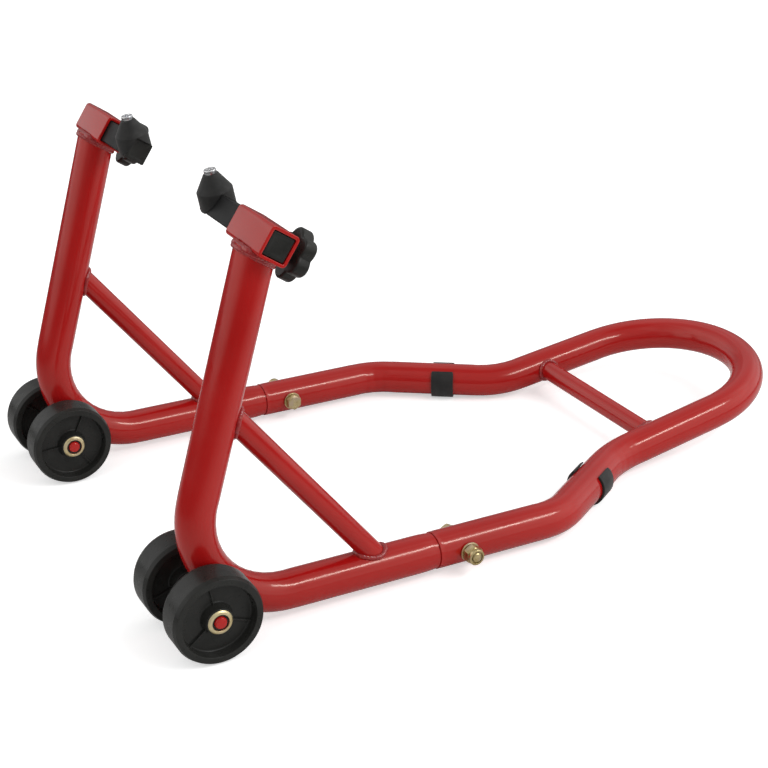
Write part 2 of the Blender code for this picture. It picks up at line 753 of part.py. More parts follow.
def build():
    holes = {name: bolt_hole(name, side) for name, side in SIDES.items()}
    handle_tube(list(holes.values()))
    cross_bar()
    for name, side in SIDES.items():
        side_tube(name, side, holes[name])
        brace(name, side)
        socket(name, side)
        wheels(name, side)
        support_arm(name, side)
        bobbin(name, side)
        clamp(name, side)
        joint_fasteners(name, side, holes[name])
        foot_pad(name, side)


build()
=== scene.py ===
"""Looks of the rear paddock stand: fine meshes and materials around the fixed CAD frame.

Metres, in the frame of the CAD model: X runs from the wheels to the handle, Y across to the left side, Z up.
The driving dimensions and paths are those of the CAD model. Each piece is built in the level stand and then
turned down with it about the axle by the stance.
"""

import math

import bmesh
import bpy
from mathutils import Matrix, Vector, noise


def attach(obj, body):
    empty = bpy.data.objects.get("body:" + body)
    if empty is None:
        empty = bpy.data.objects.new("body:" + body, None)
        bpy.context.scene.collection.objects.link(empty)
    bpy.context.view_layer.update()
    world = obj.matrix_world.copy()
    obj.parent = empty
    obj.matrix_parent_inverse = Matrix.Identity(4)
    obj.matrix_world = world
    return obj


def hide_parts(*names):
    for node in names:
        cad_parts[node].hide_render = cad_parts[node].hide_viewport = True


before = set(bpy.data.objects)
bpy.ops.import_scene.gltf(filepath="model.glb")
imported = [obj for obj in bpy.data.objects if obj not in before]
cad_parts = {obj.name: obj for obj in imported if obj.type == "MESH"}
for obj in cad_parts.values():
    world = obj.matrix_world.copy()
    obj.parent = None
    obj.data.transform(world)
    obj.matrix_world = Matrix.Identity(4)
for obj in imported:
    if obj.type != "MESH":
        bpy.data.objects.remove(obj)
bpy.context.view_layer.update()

# ---- Driving dimensions, as in the CAD model ----

GAP = 0.0003
TUBE_RADIUS = 0.019
SIDE_Y = 0.2056
RAIL_Z = 0.0255
CORNER_X = -0.0280
UPRIGHT_LEAN = math.radians(15.65)
UPRIGHT_TOP_Z = 0.385
BEND_RADIUS = 0.090
SEAM_X = 0.2478
SPIGOT_RADIUS = 0.0165
SPIGOT_LENGTH = 0.060
SHOULDER_X = 0.3976
SHOULDER_RADIUS = 0.070
NECK_X = 0.5267
NECK_RADIUS = 0.095
NECK_TO_LOOP = 0.1402
LOOP_RADIUS = 0.1148
LOOP_TAPER = math.radians(2.0)
HANDLE_RISE = math.radians(9.5)
BRACE_RADIUS = 0.0112
BRACE_TOP_Z = 0.2296
BRACE_FOOT_X = 0.194
CROSS_BAR_X = 0.5855
CROSS_BAR_RADIUS = 0.011
WHEEL_RADIUS = 0.044
WHEEL_WIDTH = 0.0325
WHEEL_MIDDLES = {"outer": 0.2415, "inner": 0.1663}
RIM_ROUND = 0.0045
RIM_LIP_RADIUS = 0.0362
WEB_RADIUS = 0.0347
RECESS_DEPTH = 0.010
HUB_BASE_RADIUS = 0.0155
HUB_TIP_RADIUS = 0.0130
AXLE_RADIUS = 0.006
AXLE_OVERHANG = 0.0035
RETAINER_RADIUS = 0.012
SOCKET_X = 0.0765
SOCKET_Y = 0.2030
SOCKET_Z = 0.3788
SOCKET_TILT = math.radians(33.3)
SOCKET_SIDE = 0.030
SOCKET_WALL = 0.003
SOCKET_LENGTH = 0.0700
SOCKET_ROUND = 0.0040
ARM_SIDE = 0.0225
ARM_WALL = 0.002
ARM_ROUND = 0.0015
ARM_INNER_Y = 0.1000
ARM_OUTER_Y = 0.2350
PLUG_HEAD = 0.0018
PLUG_SHANK = 0.0035
BOBBIN_Y = 0.1073
BOBBIN_RADIUS = 0.0168
BOBBIN_BOTTOM = -0.001
BOBBIN_SHOULDER = 0.0165
BOBBIN_TOP = 0.0320
BOBBIN_TOP_RADIUS = 0.0071
BOBBIN_SCREW_HEAD_RADIUS = 0.0058
BOBBIN_SCREW_HEAD = 0.0040
BOBBIN_SCREW_RADIUS = 0.003
BOBBIN_SCREW_END = 0.007
BOBBIN_SCREW_KEY = 0.0029
BOBBIN_KEY_FLOOR = 0.0018
CLAMP_DROP = 0.002
CLAMP_RADIUS = 0.005
CLAMP_NUT_FLATS = 0.017
CLAMP_NUT_HEIGHT = 0.007
KNOB_BACK = 0.0305
KNOB_FRONT = 0.0445
KNOB_RADIUS = 0.0246
KNOB_WAIST = 0.0203
KNOB_LOBES = 6
KNOB_TURN = math.radians(5)
KNOB_HUB_BACK = 0.0250
KNOB_HUB_RADIUS = 0.0095
CLAMP_SCREW_END = 0.0400
BOLT_X = 0.2795
BOLT_RADIUS = 0.005
BOLT_HEAD_FLATS = 0.016
BOLT_HEAD_HEIGHT = 0.0064
BOLT_TAIL = 0.0006
WASHER_RADIUS = 0.0102
WASHER_THICKNESS = 0.002
NUT_FLATS = 0.017
NUT_HEIGHT = 0.0125
NUT_HEX_HEIGHT = 0.0088
NUT_COLLAR_RADIUS = 0.0084
NUT_MOUTH_RADIUS = 0.0062
NUT_MOUTH_DEPTH = 0.0018
PAD_ALONG = 0.087
PAD_LENGTH = 0.0265
PAD_LIP_ANGLE = math.radians(48)
PAD_RADIUS = 0.0219
STANCE_ANGLE = math.radians(0.5)

HANDLE_REACH = NECK_TO_LOOP * math.cos(LOOP_TAPER) + LOOP_RADIUS * (1 - math.sin(LOOP_TAPER))
LOOP_END_X = NECK_X + HANDLE_REACH * math.cos(HANDLE_RISE)
LOOP_END_Z = RAIL_Z + HANDLE_REACH * math.sin(HANDLE_RISE)
STANDING_END_X = LOOP_END_X * math.cos(STANCE_ANGLE) + (LOOP_END_Z - WHEEL_RADIUS) * math.sin(STANCE_ANGLE)
LENGTH = WHEEL_RADIUS + STANDING_END_X + TUBE_RADIUS
AXLE_X = WHEEL_RADIUS - LENGTH / 2
AXLE_POINT = Vector((AXLE_X, 0, WHEEL_RADIUS))
STANCE = (
    Matrix.Translation(AXLE_POINT) @ Matrix.Rotation(STANCE_ANGLE, 4, "Y") @ Matrix.Translation(-AXLE_POINT)
)
NECK_Y = LOOP_RADIUS * math.cos(LOOP_TAPER) + NECK_TO_LOOP * math.sin(LOOP_TAPER)
SIDES = {"left": 1, "right": -1}

# Fineness of the visual meshes.
TUBE_SIDES = 64
BAR_SIDES = 48
TURNED_SIDES = 72
WHEEL_SIDES = 144
BEAD_SIDES = 12
EDGE_STEPS = 5
QUARTER_TURN = [math.pi / 2 * step / EDGE_STEPS for step in range(EDGE_STEPS + 1)]


# ---- Materials ----


def new_finish(name, colour, roughness, metallic=0.0, **sockets):
    """A material with its Principled shader, whose constant values are set on the shader itself."""
    finish = bpy.data.materials.new(name)
    finish.use_nodes = True
    shader = finish.node_tree.nodes["Principled BSDF"]
    values = {"Base Color": (*colour, 1.0), "Roughness": roughness, "Metallic": metallic, **sockets}
    for socket, value in values.items():
        shader.inputs[socket].default_value = value
    return finish, finish.node_tree, shader


def noise_node(tree, scale, detail=2.0):
    """Noise in object space, in cycles per metre."""
    texture = tree.nodes.new("ShaderNodeTexNoise")
    texture.inputs["Scale"].default_value = scale
    texture.inputs["Detail"].default_value = detail
    coordinates = tree.nodes.new("ShaderNodeTexCoord")
    tree.links.new(coordinates.outputs["Object"], texture.inputs["Vector"])
    return texture.outputs["Fac"]


def remap(tree, value, low, high, new_low, new_high):
    """The value's range low to high, stretched to a new range and clamped."""
    node = tree.nodes.new("ShaderNodeMapRange")
    for socket, number in zip(("From Min", "From Max", "To Min", "To Max"), (low, high, new_low, new_high)):
        node.inputs[socket].default_value = number
    tree.links.new(value, node.inputs["Value"])
    return node.outputs["Result"]


def mixed_colour(tree, share, first, second):
    node = tree.nodes.new("ShaderNodeMix")
    node.data_type = "RGBA"
    tree.links.new(share, node.inputs["Factor"])
    for socket, colour in (("A", first), ("B", second)):
        target = next(item for item in node.inputs if item.name == socket and item.type == "RGBA")
        if isinstance(colour, tuple):
            target.default_value = (*colour, 1.0)
        else:
            tree.links.new(colour, target)
    return next(item for item in node.outputs if item.type == "RGBA")


def bumps(tree, shader, *layers):
    """Chained bumps. Each layer is a height, its depth in metres and its strength."""
    normal = None
    for height, depth, strength in layers:
        node = tree.nodes.new("ShaderNodeBump")
        node.inputs["Distance"].default_value = depth
        node.inputs["Strength"].default_value = strength
        tree.links.new(height, node.inputs["Height"])
        if normal is not None:
            tree.links.new(normal, node.inputs["Normal"])
        normal = node.outputs["Normal"]
    tree.links.new(normal, shader.inputs["Normal"])


def edge_share(tree, low, high):
    """How sharply the surface turns outwards, from 0 below low to 1 above high."""
    geometry = tree.nodes.new("ShaderNodeNewGeometry")
    return remap(tree, geometry.outputs["Pointiness"], low, high, 0.0, 1.0)


def tinted(tree, shader, share, first, second):
    tree.links.new(mixed_colour(tree, share, first, second), shader.inputs["Base Color"])


def patches(tree, scale, detail, low, high):
    """Soft patches: noise between two levels, stretched from 0 to 1."""
    return remap(tree, noise_node(tree, scale, detail), low, high, 0.0, 1.0)


def uneven_gloss(tree, shader, scale, detail, glossy, dull):
    noisy = remap(tree, noise_node(tree, scale, detail), 0.3, 0.7, glossy, dull)
    tree.links.new(noisy, shader.inputs["Roughness"])


def red_powder_coat(name="red_coat", painted_highlight=0.0):
    """Gloss powder coat: faint mottling and orange peel. The extra red added to the base colour is a painted
    highlight.
    """
    gloss = {
        "IOR": 1.5, "Coat Weight": 0.12, "Coat Roughness": 0.06, "Specular IOR Level": 0.45,
        "Specular Tint": (1.0, 0.86, 0.74, 1.0),
    }
    finish, tree, shader = new_finish(name, (0.37, 0.007, 0.007), 0.18, **gloss)
    mottle = patches(tree, 9.0, 3.0, 0.35, 0.65)
    tinted(tree, shader, mottle, (0.355 + painted_highlight, 0.0050, 0.0050), (0.400 + painted_highlight, 0.0080, 0.0080))
    uneven_gloss(tree, shader, 45.0, 4.0, 0.14, 0.22)
    grain = noise_node(tree, 420.0)
    orange_peel = noise_node(tree, 70.0)
    bumps(tree, shader, (grain, 0.00015, 0.06), (orange_peel, 0.0005, 0.08))
    return finish


def weld_coat():
    """The same coat over weld metal: rougher, with random spots painted a burnt orange as painted glints of
    reflected light.
    """
    gloss = {"Coat Weight": 0.30, "Coat Roughness": 0.12}
    finish, tree, shader = new_finish("red_coat_on_weld", (0.36, 0.012, 0.012), 0.26, **gloss)
    # Random burnt-orange spots: painted glints of reflected light on the beads, not a colour of the coat.
    painted_glints = patches(tree, 260.0, 3.0, 0.58, 0.72)
    tinted(tree, shader, painted_glints, (0.28, 0.009, 0.010), (0.36, 0.045, 0.020))
    bumps(tree, shader, (noise_node(tree, 650.0, 3.0), 0.0004, 0.35))
    return finish


def black_powder_coat():
    """Satin black coat on the arms, with a fine texture."""
    gloss = {"Specular IOR Level": 0.12}
    finish, tree, shader = new_finish("black_coat", (0.013, 0.013, 0.012), 0.42, **gloss)
    uneven_gloss(tree, shader, 60.0, 4.0, 0.36, 0.50)
    tone = patches(tree, 30.0, 3.0, 0.35, 0.65)
    tinted(tree, shader, tone, (0.011, 0.011, 0.011), (0.016, 0.016, 0.016))
    bumps(tree, shader, (noise_node(tree, 1400.0), 0.0001, 0.20))
    return finish


def black_plastic():
    """Moulded nylon: satin, faintly mottled, and lighter on sharply turned-out edges."""
    gloss = {"Specular IOR Level": 0.20}
    finish, tree, shader = new_finish("black_moulding", (0.013, 0.013, 0.012), 0.38, **gloss)
    tone = patches(tree, 55.0, 4.0, 0.35, 0.68)
    body = mixed_colour(tree, tone, (0.018, 0.0180, 0.0165), (0.024, 0.0240, 0.0220))
    # The colour turns lighter where the surface turns sharply outwards.
    tinted(tree, shader, edge_share(tree, 0.54, 0.64), body, (0.035, 0.035, 0.033))
    uneven_gloss(tree, shader, 160.0, 5.0, 0.24, 0.38)
    bumps(tree, shader, (noise_node(tree, 900.0, 3.0), 0.00012, 0.22))
    return finish


def black_rubber():
    """Matte rubber: a dusty tone over a dark one, and a fine grain."""
    sheen = {"Sheen Weight": 0.12, "Sheen Roughness": 0.5, "Specular IOR Level": 0.30}
    finish, tree, shader = new_finish("rubber", (0.013, 0.013, 0.0125), 0.62, **sheen)
    dust = patches(tree, 80.0, 5.0, 0.42, 0.70)
    tinted(tree, shader, dust, (0.011, 0.011, 0.0105), (0.019, 0.0185, 0.0175))
    uneven_gloss(tree, shader, 130.0, 4.0, 0.55, 0.72)
    bumps(tree, shader, (noise_node(tree, 1600.0, 3.0), 0.00015, 0.30))
    return finish


def zinc(name, light, dark, patch, roughness):
    """Plated steel: cloudy patches of tone over a metallic base, with fine tooling marks."""
    finish, tree, shader = new_finish(name, light, roughness, 1.0)
    cloud = patches(tree, 190.0, 4.0, 0.38, 0.64)
    plated = mixed_colour(tree, cloud, light, dark)
    tinted(tree, shader, patches(tree, 95.0, 2.0, 0.45, 0.62), plated, patch)
    uneven_gloss(tree, shader, 420.0, 4.0, roughness - 0.07, roughness + 0.09)
    bumps(tree, shader, (noise_node(tree, 1100.0, 3.0), 0.00005, 0.12))
    return finish


RED = red_powder_coat()
# The axle has the frame's own red coat, painted lighter here as a painted highlight on its bright ends.
AXLE_RED_PAINTED_LIGHTER = red_powder_coat("red_coat_on_axle_painted_lighter", 0.04)
WELD = weld_coat()
BLACK_STEEL = black_powder_coat()
BLACK_PLASTIC = black_plastic()
RUBBER = black_rubber()
YELLOW_ZINC = zinc("yellow_plating", (0.60, 0.49, 0.27), (0.40, 0.31, 0.14), (0.54, 0.43, 0.30), 0.32)
PALE_ZINC = zinc("pale_yellow_plating", (0.76, 0.66, 0.40), (0.62, 0.49, 0.25), (0.70, 0.60, 0.40), 0.38)
BRIGHT_ZINC = zinc("bright_plating", (0.82, 0.82, 0.82), (0.66, 0.66, 0.67), (0.76, 0.77, 0.80), 0.24)


# ---- Modelling helpers ----


def add_piece(name, shape, place, finish, body="root", nodes=(), sharp=40):
    """A finished bmesh as a piece that rides on a body and may stand for CAD nodes."""
    shape.transform(STANCE @ place)
    bmesh.ops.remove_doubles(shape, verts=shape.verts, dist=1e-7)
    bmesh.ops.recalc_face_normals(shape, faces=shape.faces)
    mesh = bpy.data.meshes.new(name)
    shape.to_mesh(mesh)
    shape.free()
    mesh.materials.append(finish)
    mesh.shade_smooth()
    mesh.set_sharp_from_angle(angle=math.radians(sharp))
    piece = bpy.data.objects.new(name, mesh)
    bpy.context.scene.collection.objects.link(piece)
    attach(piece, body)
    if nodes:
        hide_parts(*nodes)
    return piece


def loft(shape, rings, wrap=False):
    """Quads between rings of points. The first and last rings are joined when wrap is set, or else capped."""
    made = [[shape.verts.new(point) for point in ring] for ring in rings]
    pairs = list(zip(made, made[1:]))
    if wrap:
        pairs.append((made[-1], made[0]))
    for first, second in pairs:
        for index in range(len(first)):
            after = (index + 1) % len(first)
            shape.faces.new((first[index], first[after], second[after], second[index]))
    if not wrap:
        shape.faces.new(made[0][::-1])
        shape.faces.new(made[-1])
    return shape


def rounded(corners, closed=False, steps=EDGE_STEPS):
    """A line of (x, y, rounding) corners as (x, y) points, with each rounded corner as an arc."""
    count = len(corners)
    points = []
    for index, (x, y, radius) in enumerate(corners):
        corner = Vector((x, y))
        inner = closed or 0 < index < count - 1
        if radius == 0 or not inner:
            points.append((x, y))
            continue
        back = (Vector(corners[index - 1][:2]) - corner).normalized()
        ahead = (Vector(corners[(index + 1) % count][:2]) - corner).normalized()
        half = back.angle(ahead) / 2
        middle = corner + (back + ahead).normalized() * (radius / math.sin(half))
        first = corner + back * (radius / math.tan(half)) - middle
        last = corner + ahead * (radius / math.tan(half)) - middle
        turn = first.angle_signed(last)
        for step in range(steps + 1):
            arm = first.copy()
            arm.rotate(Matrix.Rotation(-turn * step / steps, 2))
            points.append(tuple(middle + arm))
    return points


def turned_rings(profile, sides=TURNED_SIDES, section=None):
    """Rings about local Z at (radius, height) points. section(angle, radius, height) may reshape each one."""
    rings = []
    for radius, height in profile:
        ring = []
        for index in range(sides):
            angle = math.tau * index / sides
            reach = section(angle, radius, height) if section else radius
            ring.append((reach * math.cos(angle), reach * math.sin(angle), height))
        rings.append(ring)
    return rings


def turned(profile, sides=TURNED_SIDES, wrap=False, section=None):
    return loft(bmesh.new(), turned_rings(profile, sides, section), wrap)


def hexagon_reach(angle, flats):
    """How far a hexagon with that distance across its flats reaches at an angle."""
    sector = math.tau / 6
    return flats / 2 / math.cos((angle + sector / 2) % sector - sector / 2)


def hexagonal(flats, bore):
    """A ring shape: a hexagon chamfered by the turned profile, and the plain profile in the bore."""
    def section(angle, radius, height):
        return radius if radius <= bore + 1e-6 else min(radius, hexagon_reach(angle, flats))
    return section


def square_ring(side, rounding, y):
    """A square outline with rounded corners, across the local Y axis."""
    half = side / 2
    rounding = max(rounding, 0.0002)
    corners = [(half * x, half * z, rounding) for x, z in ((1, 1), (-1, 1), (-1, -1), (1, -1))]
    return [(x, y, z) for x, z in rounded(corners, closed=True)]


def square_tube(side, wall, length, rounding, inner_rounding, edge):
    """A square tube along local Y with rounded corners and softened ends."""
    half = length / 2
    rings = []
    for end, order in ((-half, 1), (half, -1)):
        inward = 1 if end < 0 else -1
        rim = []
        for angle in QUARTER_TURN:
            inset = edge * (1 - math.sin(angle))
            y = end + inward * edge * (1 - math.cos(angle))
            rim.append(square_ring(side - 2 * inset, rounding - inset, y))
        inner = square_ring(side - 2 * wall, inner_rounding, end + inward * edge / 3)
        lip = square_ring(side - 2 * wall + edge, inner_rounding + edge / 2, end)
        rings += ([inner, lip] + rim)[::order]
    return loft(bmesh.new(), rings, wrap=True)


def rail_frames(path, closed=False):
    """(point, across, up, ahead, bend) along a path: a frame that doesn't twist, and the bend's direction."""
    count = len(path)
    frames = []
    across = None
    for index, point in enumerate(path):
        before = path[index - 1] if index or closed else point
        after = path[(index + 1) % count] if index < count - 1 or closed else point
        ahead = (after - before).normalized()
        if across is None:
            helper = Vector((0, 0, 1)) if abs(ahead.z) < 0.9 else Vector((1, 0, 0))
            across = ahead.cross(helper).normalized()
        across = (across - ahead * across.dot(ahead)).normalized()
        bend = (after + before - 2 * point) / max((after - before).length_squared / 4, 1e-12)
        frames.append((point, across, across.cross(ahead).normalized(), ahead, bend))
    return frames


def ring_around(point, across, up, radius, sides):
    angles = [math.tau * index / sides for index in range(sides)]
    return [point + across * (radius * math.cos(a)) + up * (radius * math.sin(a)) for a in angles]


def bend_path(corners, radii, steps):
    """The line through the corners, each inner corner rounded to its radius."""
    points = [Vector(corners[0])]
    for before, corner, after, radius in zip(corners, corners[1:], corners[2:], radii):
        corner = Vector(corner)
        back = (Vector(before) - corner).normalized()
        ahead = (Vector(after) - corner).normalized()
        half = back.angle(ahead) / 2
        middle = corner + (back + ahead).normalized() * (radius / math.sin(half))
        first = corner + back * (radius / math.tan(half)) - middle
        last = corner + ahead * (radius / math.tan(half)) - middle
        for step in range(steps + 1):
            arm = first.slerp(last, step / steps)
            points.append(middle + arm * (radius / arm.length))
    points.append(Vector(corners[-1]))
    return points


def spaced(path, spacing):
    """The same line with points no further apart than the spacing."""
    points = [path[0]]
    for first, second in zip(path, path[1:]):
        parts = max(1, math.ceil((second - first).length / spacing))
        points += [first.lerp(second, part / parts) for part in range(1, parts + 1)]
    return points


# ---- Paths and axes, as in the CAD model ----


def upright_point(height, side):
    lean = (height - RAIL_Z) * math.tan(UPRIGHT_LEAN)
    return Vector((AXLE_X + CORNER_X + lean, side * SIDE_Y, height))


def side_tube_path(side, end_x):
    corners = [
        upright_point(UPRIGHT_TOP_Z, side),
        upright_point(RAIL_Z, side),
        Vector((AXLE_X + end_x, side * SIDE_Y, RAIL_Z)),
    ]
    return bend_path(corners, [BEND_RADIUS], 36)


def neck_corner(side):
    return Vector((AXLE_X + NECK_X, side * NECK_Y, RAIL_Z))


def in_handle_plane(along, across):
    """A point of the rising plane of the loop, from the middle between the neck corners."""
    rise = Vector((math.cos(HANDLE_RISE), 0, math.sin(HANDLE_RISE)))
    return Vector((AXLE_X + NECK_X, across, RAIL_Z)) + rise * along


def handle_path():
    halves = {}
    for side in SIDES.values():
        corners = [
            Vector((AXLE_X + SEAM_X + GAP, side * SIDE_Y, RAIL_Z)),
            Vector((AXLE_X + SHOULDER_X, side * SIDE_Y, RAIL_Z)),
            neck_corner(side),
            in_handle_plane(NECK_TO_LOOP * math.cos(LOOP_TAPER), side * LOOP_RADIUS * math.cos(LOOP_TAPER)),
        ]
        halves[side] = bend_path(corners, [SHOULDER_RADIUS, NECK_RADIUS], 18)
    middle = NECK_TO_LOOP * math.cos(LOOP_TAPER) - LOOP_RADIUS * math.sin(LOOP_TAPER)
    sweep = math.pi - 2 * LOOP_TAPER
    steps = 72
    loop = []
    for step in range(1, steps):
        angle = LOOP_TAPER + sweep * step / steps
        loop.append(in_handle_plane(middle + LOOP_RADIUS * math.sin(angle), LOOP_RADIUS * math.cos(angle)))
    return halves[1] + loop + halves[-1][::-1]


def socket_place(side):
    """The socket's middle. Local X points out of the clamp face and local Z out of the top face."""
    centre = (AXLE_X + SOCKET_X, side * SOCKET_Y, SOCKET_Z)
    return Matrix.Translation(centre) @ Matrix.Rotation(SOCKET_TILT, 4, "Y")


def clamp_place(side):
    """The clamp screw's axis, with local Z pointing out of the clamp face."""
    return socket_place(side) @ Matrix.Translation((0, 0, -CLAMP_DROP)) @ Matrix.Rotation(math.pi / 2, 4, "Y")


def arm_place(side, y):
    centre = (AXLE_X + SOCKET_X, side * y, SOCKET_Z)
    return Matrix.Translation(centre) @ Matrix.Rotation(SOCKET_TILT, 4, "Y")


def bobbin_place(side):
    """The bobbin's axis stands on the arm's upper corner edge."""
    return arm_place(side, BOBBIN_Y) @ Matrix.Rotation(-math.pi / 4, 4, "Y")


def across_place(x, z, side):
    """A cross axis at y = 0, with local Z pointing outwards on the given side."""
    return Matrix.Translation((AXLE_X + x, 0, z)) @ Matrix.Rotation(-side * math.pi / 2, 4, "X")


# ---- Frame ----

BEND_RIPPLE = 0.00016
RIPPLE_LENGTH = 0.013
TIGHTEST_BEND = 0.09
RING_SPACING = 0.006
SEAM_ROUND = 0.0007
SWAGE_TAPER = 0.018
SWAGE_DEPTH = 0.0010
HERE = Matrix.Identity(4)


def tube_rings(path):
    """Rings of the main tube along a path. Where it bends, its inner side ripples slightly."""
    rings = []
    travelled = 0.0
    previous = path[0]
    for point, across, up, _, bend in rail_frames(path):
        travelled += (point - previous).length
        previous = point
        tightness = min(bend.length * TIGHTEST_BEND, 1.0)
        inward = bend.normalized() if bend.length > 1e-6 else Vector((0, 0, 0))
        ring = []
        for index in range(TUBE_SIDES):
            angle = math.tau * index / TUBE_SIDES
            arm = across * math.cos(angle) + up * math.sin(angle)
            wave = math.sin(math.tau * travelled / RIPPLE_LENGTH) * max(arm.dot(inward), 0.0) ** 2
            ring.append(point + arm * (TUBE_RADIUS - BEND_RIPPLE * tightness * (1 + wave)))
        rings.append(ring)
    return rings


def cut_by_plane(ring, direction, point, normal):
    """The ring's points moved along a direction onto a plane."""
    return [corner + direction * ((point - corner).dot(normal) / direction.dot(normal)) for corner in ring]


def side_tube(name, side):
    """The bent tube of one side, closed under its socket and swaged down into the handle tube."""
    path = spaced(side_tube_path(side, SEAM_X - SEAM_ROUND), RING_SPACING)
    rings = tube_rings(path)
    for index, point in enumerate(path):
        before_seam = AXLE_X + SEAM_X - point.x
        share = max(0.0, 1 - before_seam / SWAGE_TAPER) if point.z < RAIL_Z + 0.001 else 0.0
        narrowed = 1 - SWAGE_DEPTH / TUBE_RADIUS * share ** 2
        rings[index] = [point + (corner - point) * narrowed for corner in rings[index]]
    place = socket_place(side)
    below = place @ Vector((0, 0, -SOCKET_SIDE / 2 - GAP))
    normal = place.to_3x3() @ Vector((0, 0, 1))
    upward = (path[0] - path[1]).normalized()
    kept = [ring for ring in rings if max((corner - below).dot(normal) for corner in ring) < 0]
    rings = [cut_by_plane(kept[0], upward, below, normal), *kept]
    arms = [(corner - path[-1]).normalized() for corner in kept[-1]]
    for angle in QUARTER_TURN[1:]:
        place_x = AXLE_X + SEAM_X - SEAM_ROUND * (1 - math.sin(angle))
        middle = Vector((place_x, side * SIDE_Y, RAIL_Z))
        radius = TUBE_RADIUS - SWAGE_DEPTH - SEAM_ROUND * (1 - math.cos(angle))
        rings.append([middle + arm * radius for arm in arms])
    for x in (SEAM_X + 0.0001, SEAM_X + SPIGOT_LENGTH):
        middle = Vector((AXLE_X + x, side * SIDE_Y, RAIL_Z))
        rings.append([middle + arm * SPIGOT_RADIUS for arm in arms])
    add_piece("side_tube_" + name, loft(bmesh.new(), rings), HERE, RED, nodes=["main_tube_" + name])


def handle():
    """The looped tube, with a sleeve at each end over the side tubes' spigots."""
    path = handle_path()
    path[0] += (path[1] - path[0]).normalized() * SEAM_ROUND
    path[-1] += (path[-2] - path[-1]).normalized() * SEAM_ROUND
    path = spaced(path, 0.005)
    rings = tube_rings(path)
    sleeve = SPIGOT_RADIUS + GAP
    ends = []
    for ring, point, beyond in ((rings[0], path[0], path[1]), (rings[-1], path[-1], path[-2])):
        inward = (beyond - point).normalized()
        arms = [(corner - point).normalized() for corner in ring]
        rim = []
        for angle in QUARTER_TURN[1:]:
            back = SEAM_ROUND * math.sin(angle)
            radius = TUBE_RADIUS - SEAM_ROUND * (1 - math.cos(angle))
            rim.append([point - inward * back + arm * radius for arm in arms])
        rim.append([point - inward * SEAM_ROUND + arm * sleeve for arm in arms])
        rim.append([point + inward * (SPIGOT_LENGTH + 0.004) + arm * sleeve for arm in arms])
        ends.append(rim)
    rings = ends[0][::-1] + rings + ends[1]
    add_piece("handle_loop", loft(bmesh.new(), rings), HERE, RED, nodes=["handle_tube"])


def distance_to_line(point, path):
    nearest = 1e9
    for first, second in zip(path, path[1:]):
        span = second - first
        share = min(max((point - first).dot(span) / span.length_squared, 0.0), 1.0)
        nearest = min(nearest, (point - first - span * share).length)
    return nearest


MET_REACH = 0.2
MET_STEP = 0.001
MET_HALVINGS = 18
BAR_RINGS = 24
MET_CLEARANCE = 0.0001


def met(point, direction, path, radius):
    """Where a ray that starts outside a round tube reaches its surface."""
    travel = 0.0
    while travel < MET_REACH and distance_to_line(point + direction * travel, path) > radius:
        travel += MET_STEP
    low, high = travel - MET_STEP, travel
    for _ in range(MET_HALVINGS):
        middle = (low + high) / 2
        if distance_to_line(point + direction * middle, path) > radius:
            low = middle
        else:
            high = middle
    return point + direction * high


def coped_bar(name, node, ends, radius, path):
    """A round bar between two tubes, whose ends follow their surfaces, with a weld bead round each end."""
    axis = (ends[1] - ends[0]).normalized()
    helper = Vector((0, 1, 0)) if abs(axis.y) < 0.7 else Vector((0, 0, 1))
    across = axis.cross(helper).normalized()
    up = across.cross(axis).normalized()
    middle = (ends[0] + ends[1]) / 2
    centre_ring = ring_around(middle, across, up, radius, BAR_SIDES)
    first = [met(point, -axis, path, TUBE_RADIUS + MET_CLEARANCE) for point in centre_ring]
    last = [met(point, axis, path, TUBE_RADIUS + MET_CLEARANCE) for point in centre_ring]
    rings = []
    for step in range(BAR_RINGS + 1):
        rings.append([a.lerp(b, step / BAR_RINGS) for a, b in zip(first, last)])
    add_piece(name, loft(bmesh.new(), rings), HERE, RED, nodes=[node])
    for index, (ring, outward) in enumerate(((first, axis), (last, -axis))):
        centre = sum(ring, Vector()) / len(ring)
        seam = [point + (point - centre).normalized() * 0.0006 + outward * 0.0008 for point in ring]
        end = "top" if index == 0 else "foot"
        bead(f"weld_{name}_{end}", seam, BAR_BEAD, index + len(name))


BEAD_PITCH = 0.0032
BEAD_SPACING = 0.0007
BEAD_SMOOTHING = 6
BAR_BEAD = 0.0026
SOCKET_BEAD = 0.0034
SECOND_PASS = 0.0034
SECOND_BEAD = 0.0022
AXLE_BEAD = 0.0028


def bead(name, path, radius, seed, closed=True):
    """A weld bead: overlapping ripples along a path, a little uneven in width and line."""
    looped = path + [path[0]] if closed else path
    fine = spaced([Vector(point) for point in looped], BEAD_SPACING)
    if closed:
        fine = fine[:-1]
    smooth = fine
    for _ in range(BEAD_SMOOTHING):
        smooth = [
            (smooth[i - 1] + smooth[i] * 2 + smooth[(i + 1) % len(smooth)]) / 4
            if closed or 0 < i < len(smooth) - 1 else smooth[i]
            for i in range(len(smooth))
        ]
    total = sum((b - a).length for a, b in zip(smooth, smooth[1:]))
    pitch = total / max(1, round(total / BEAD_PITCH))
    travelled = 0.0
    previous = smooth[0]
    rings = []
    for point, across, up, _, _ in rail_frames(smooth, closed):
        travelled += (point - previous).length
        previous = point
        ripple = abs(math.sin(math.pi * travelled / pitch)) - 0.6
        drift = noise.noise(point * 170 + Vector((seed, 0, 0)))
        reach = radius * (1 + 0.10 * ripple + 0.22 * drift)
        if not closed:
            share = travelled / total
            reach *= max(0.25, min(1.0, 6 * min(share, 1 - share)) ** 0.5)
        middle = point + across * (0.0006 * noise.noise(point * 120 + Vector((0, seed, 0))))
        rings.append(ring_around(middle, across, up, reach, BEAD_SIDES))
    add_piece(name, loft(bmesh.new(), rings, wrap=closed), HERE, WELD, sharp=60)


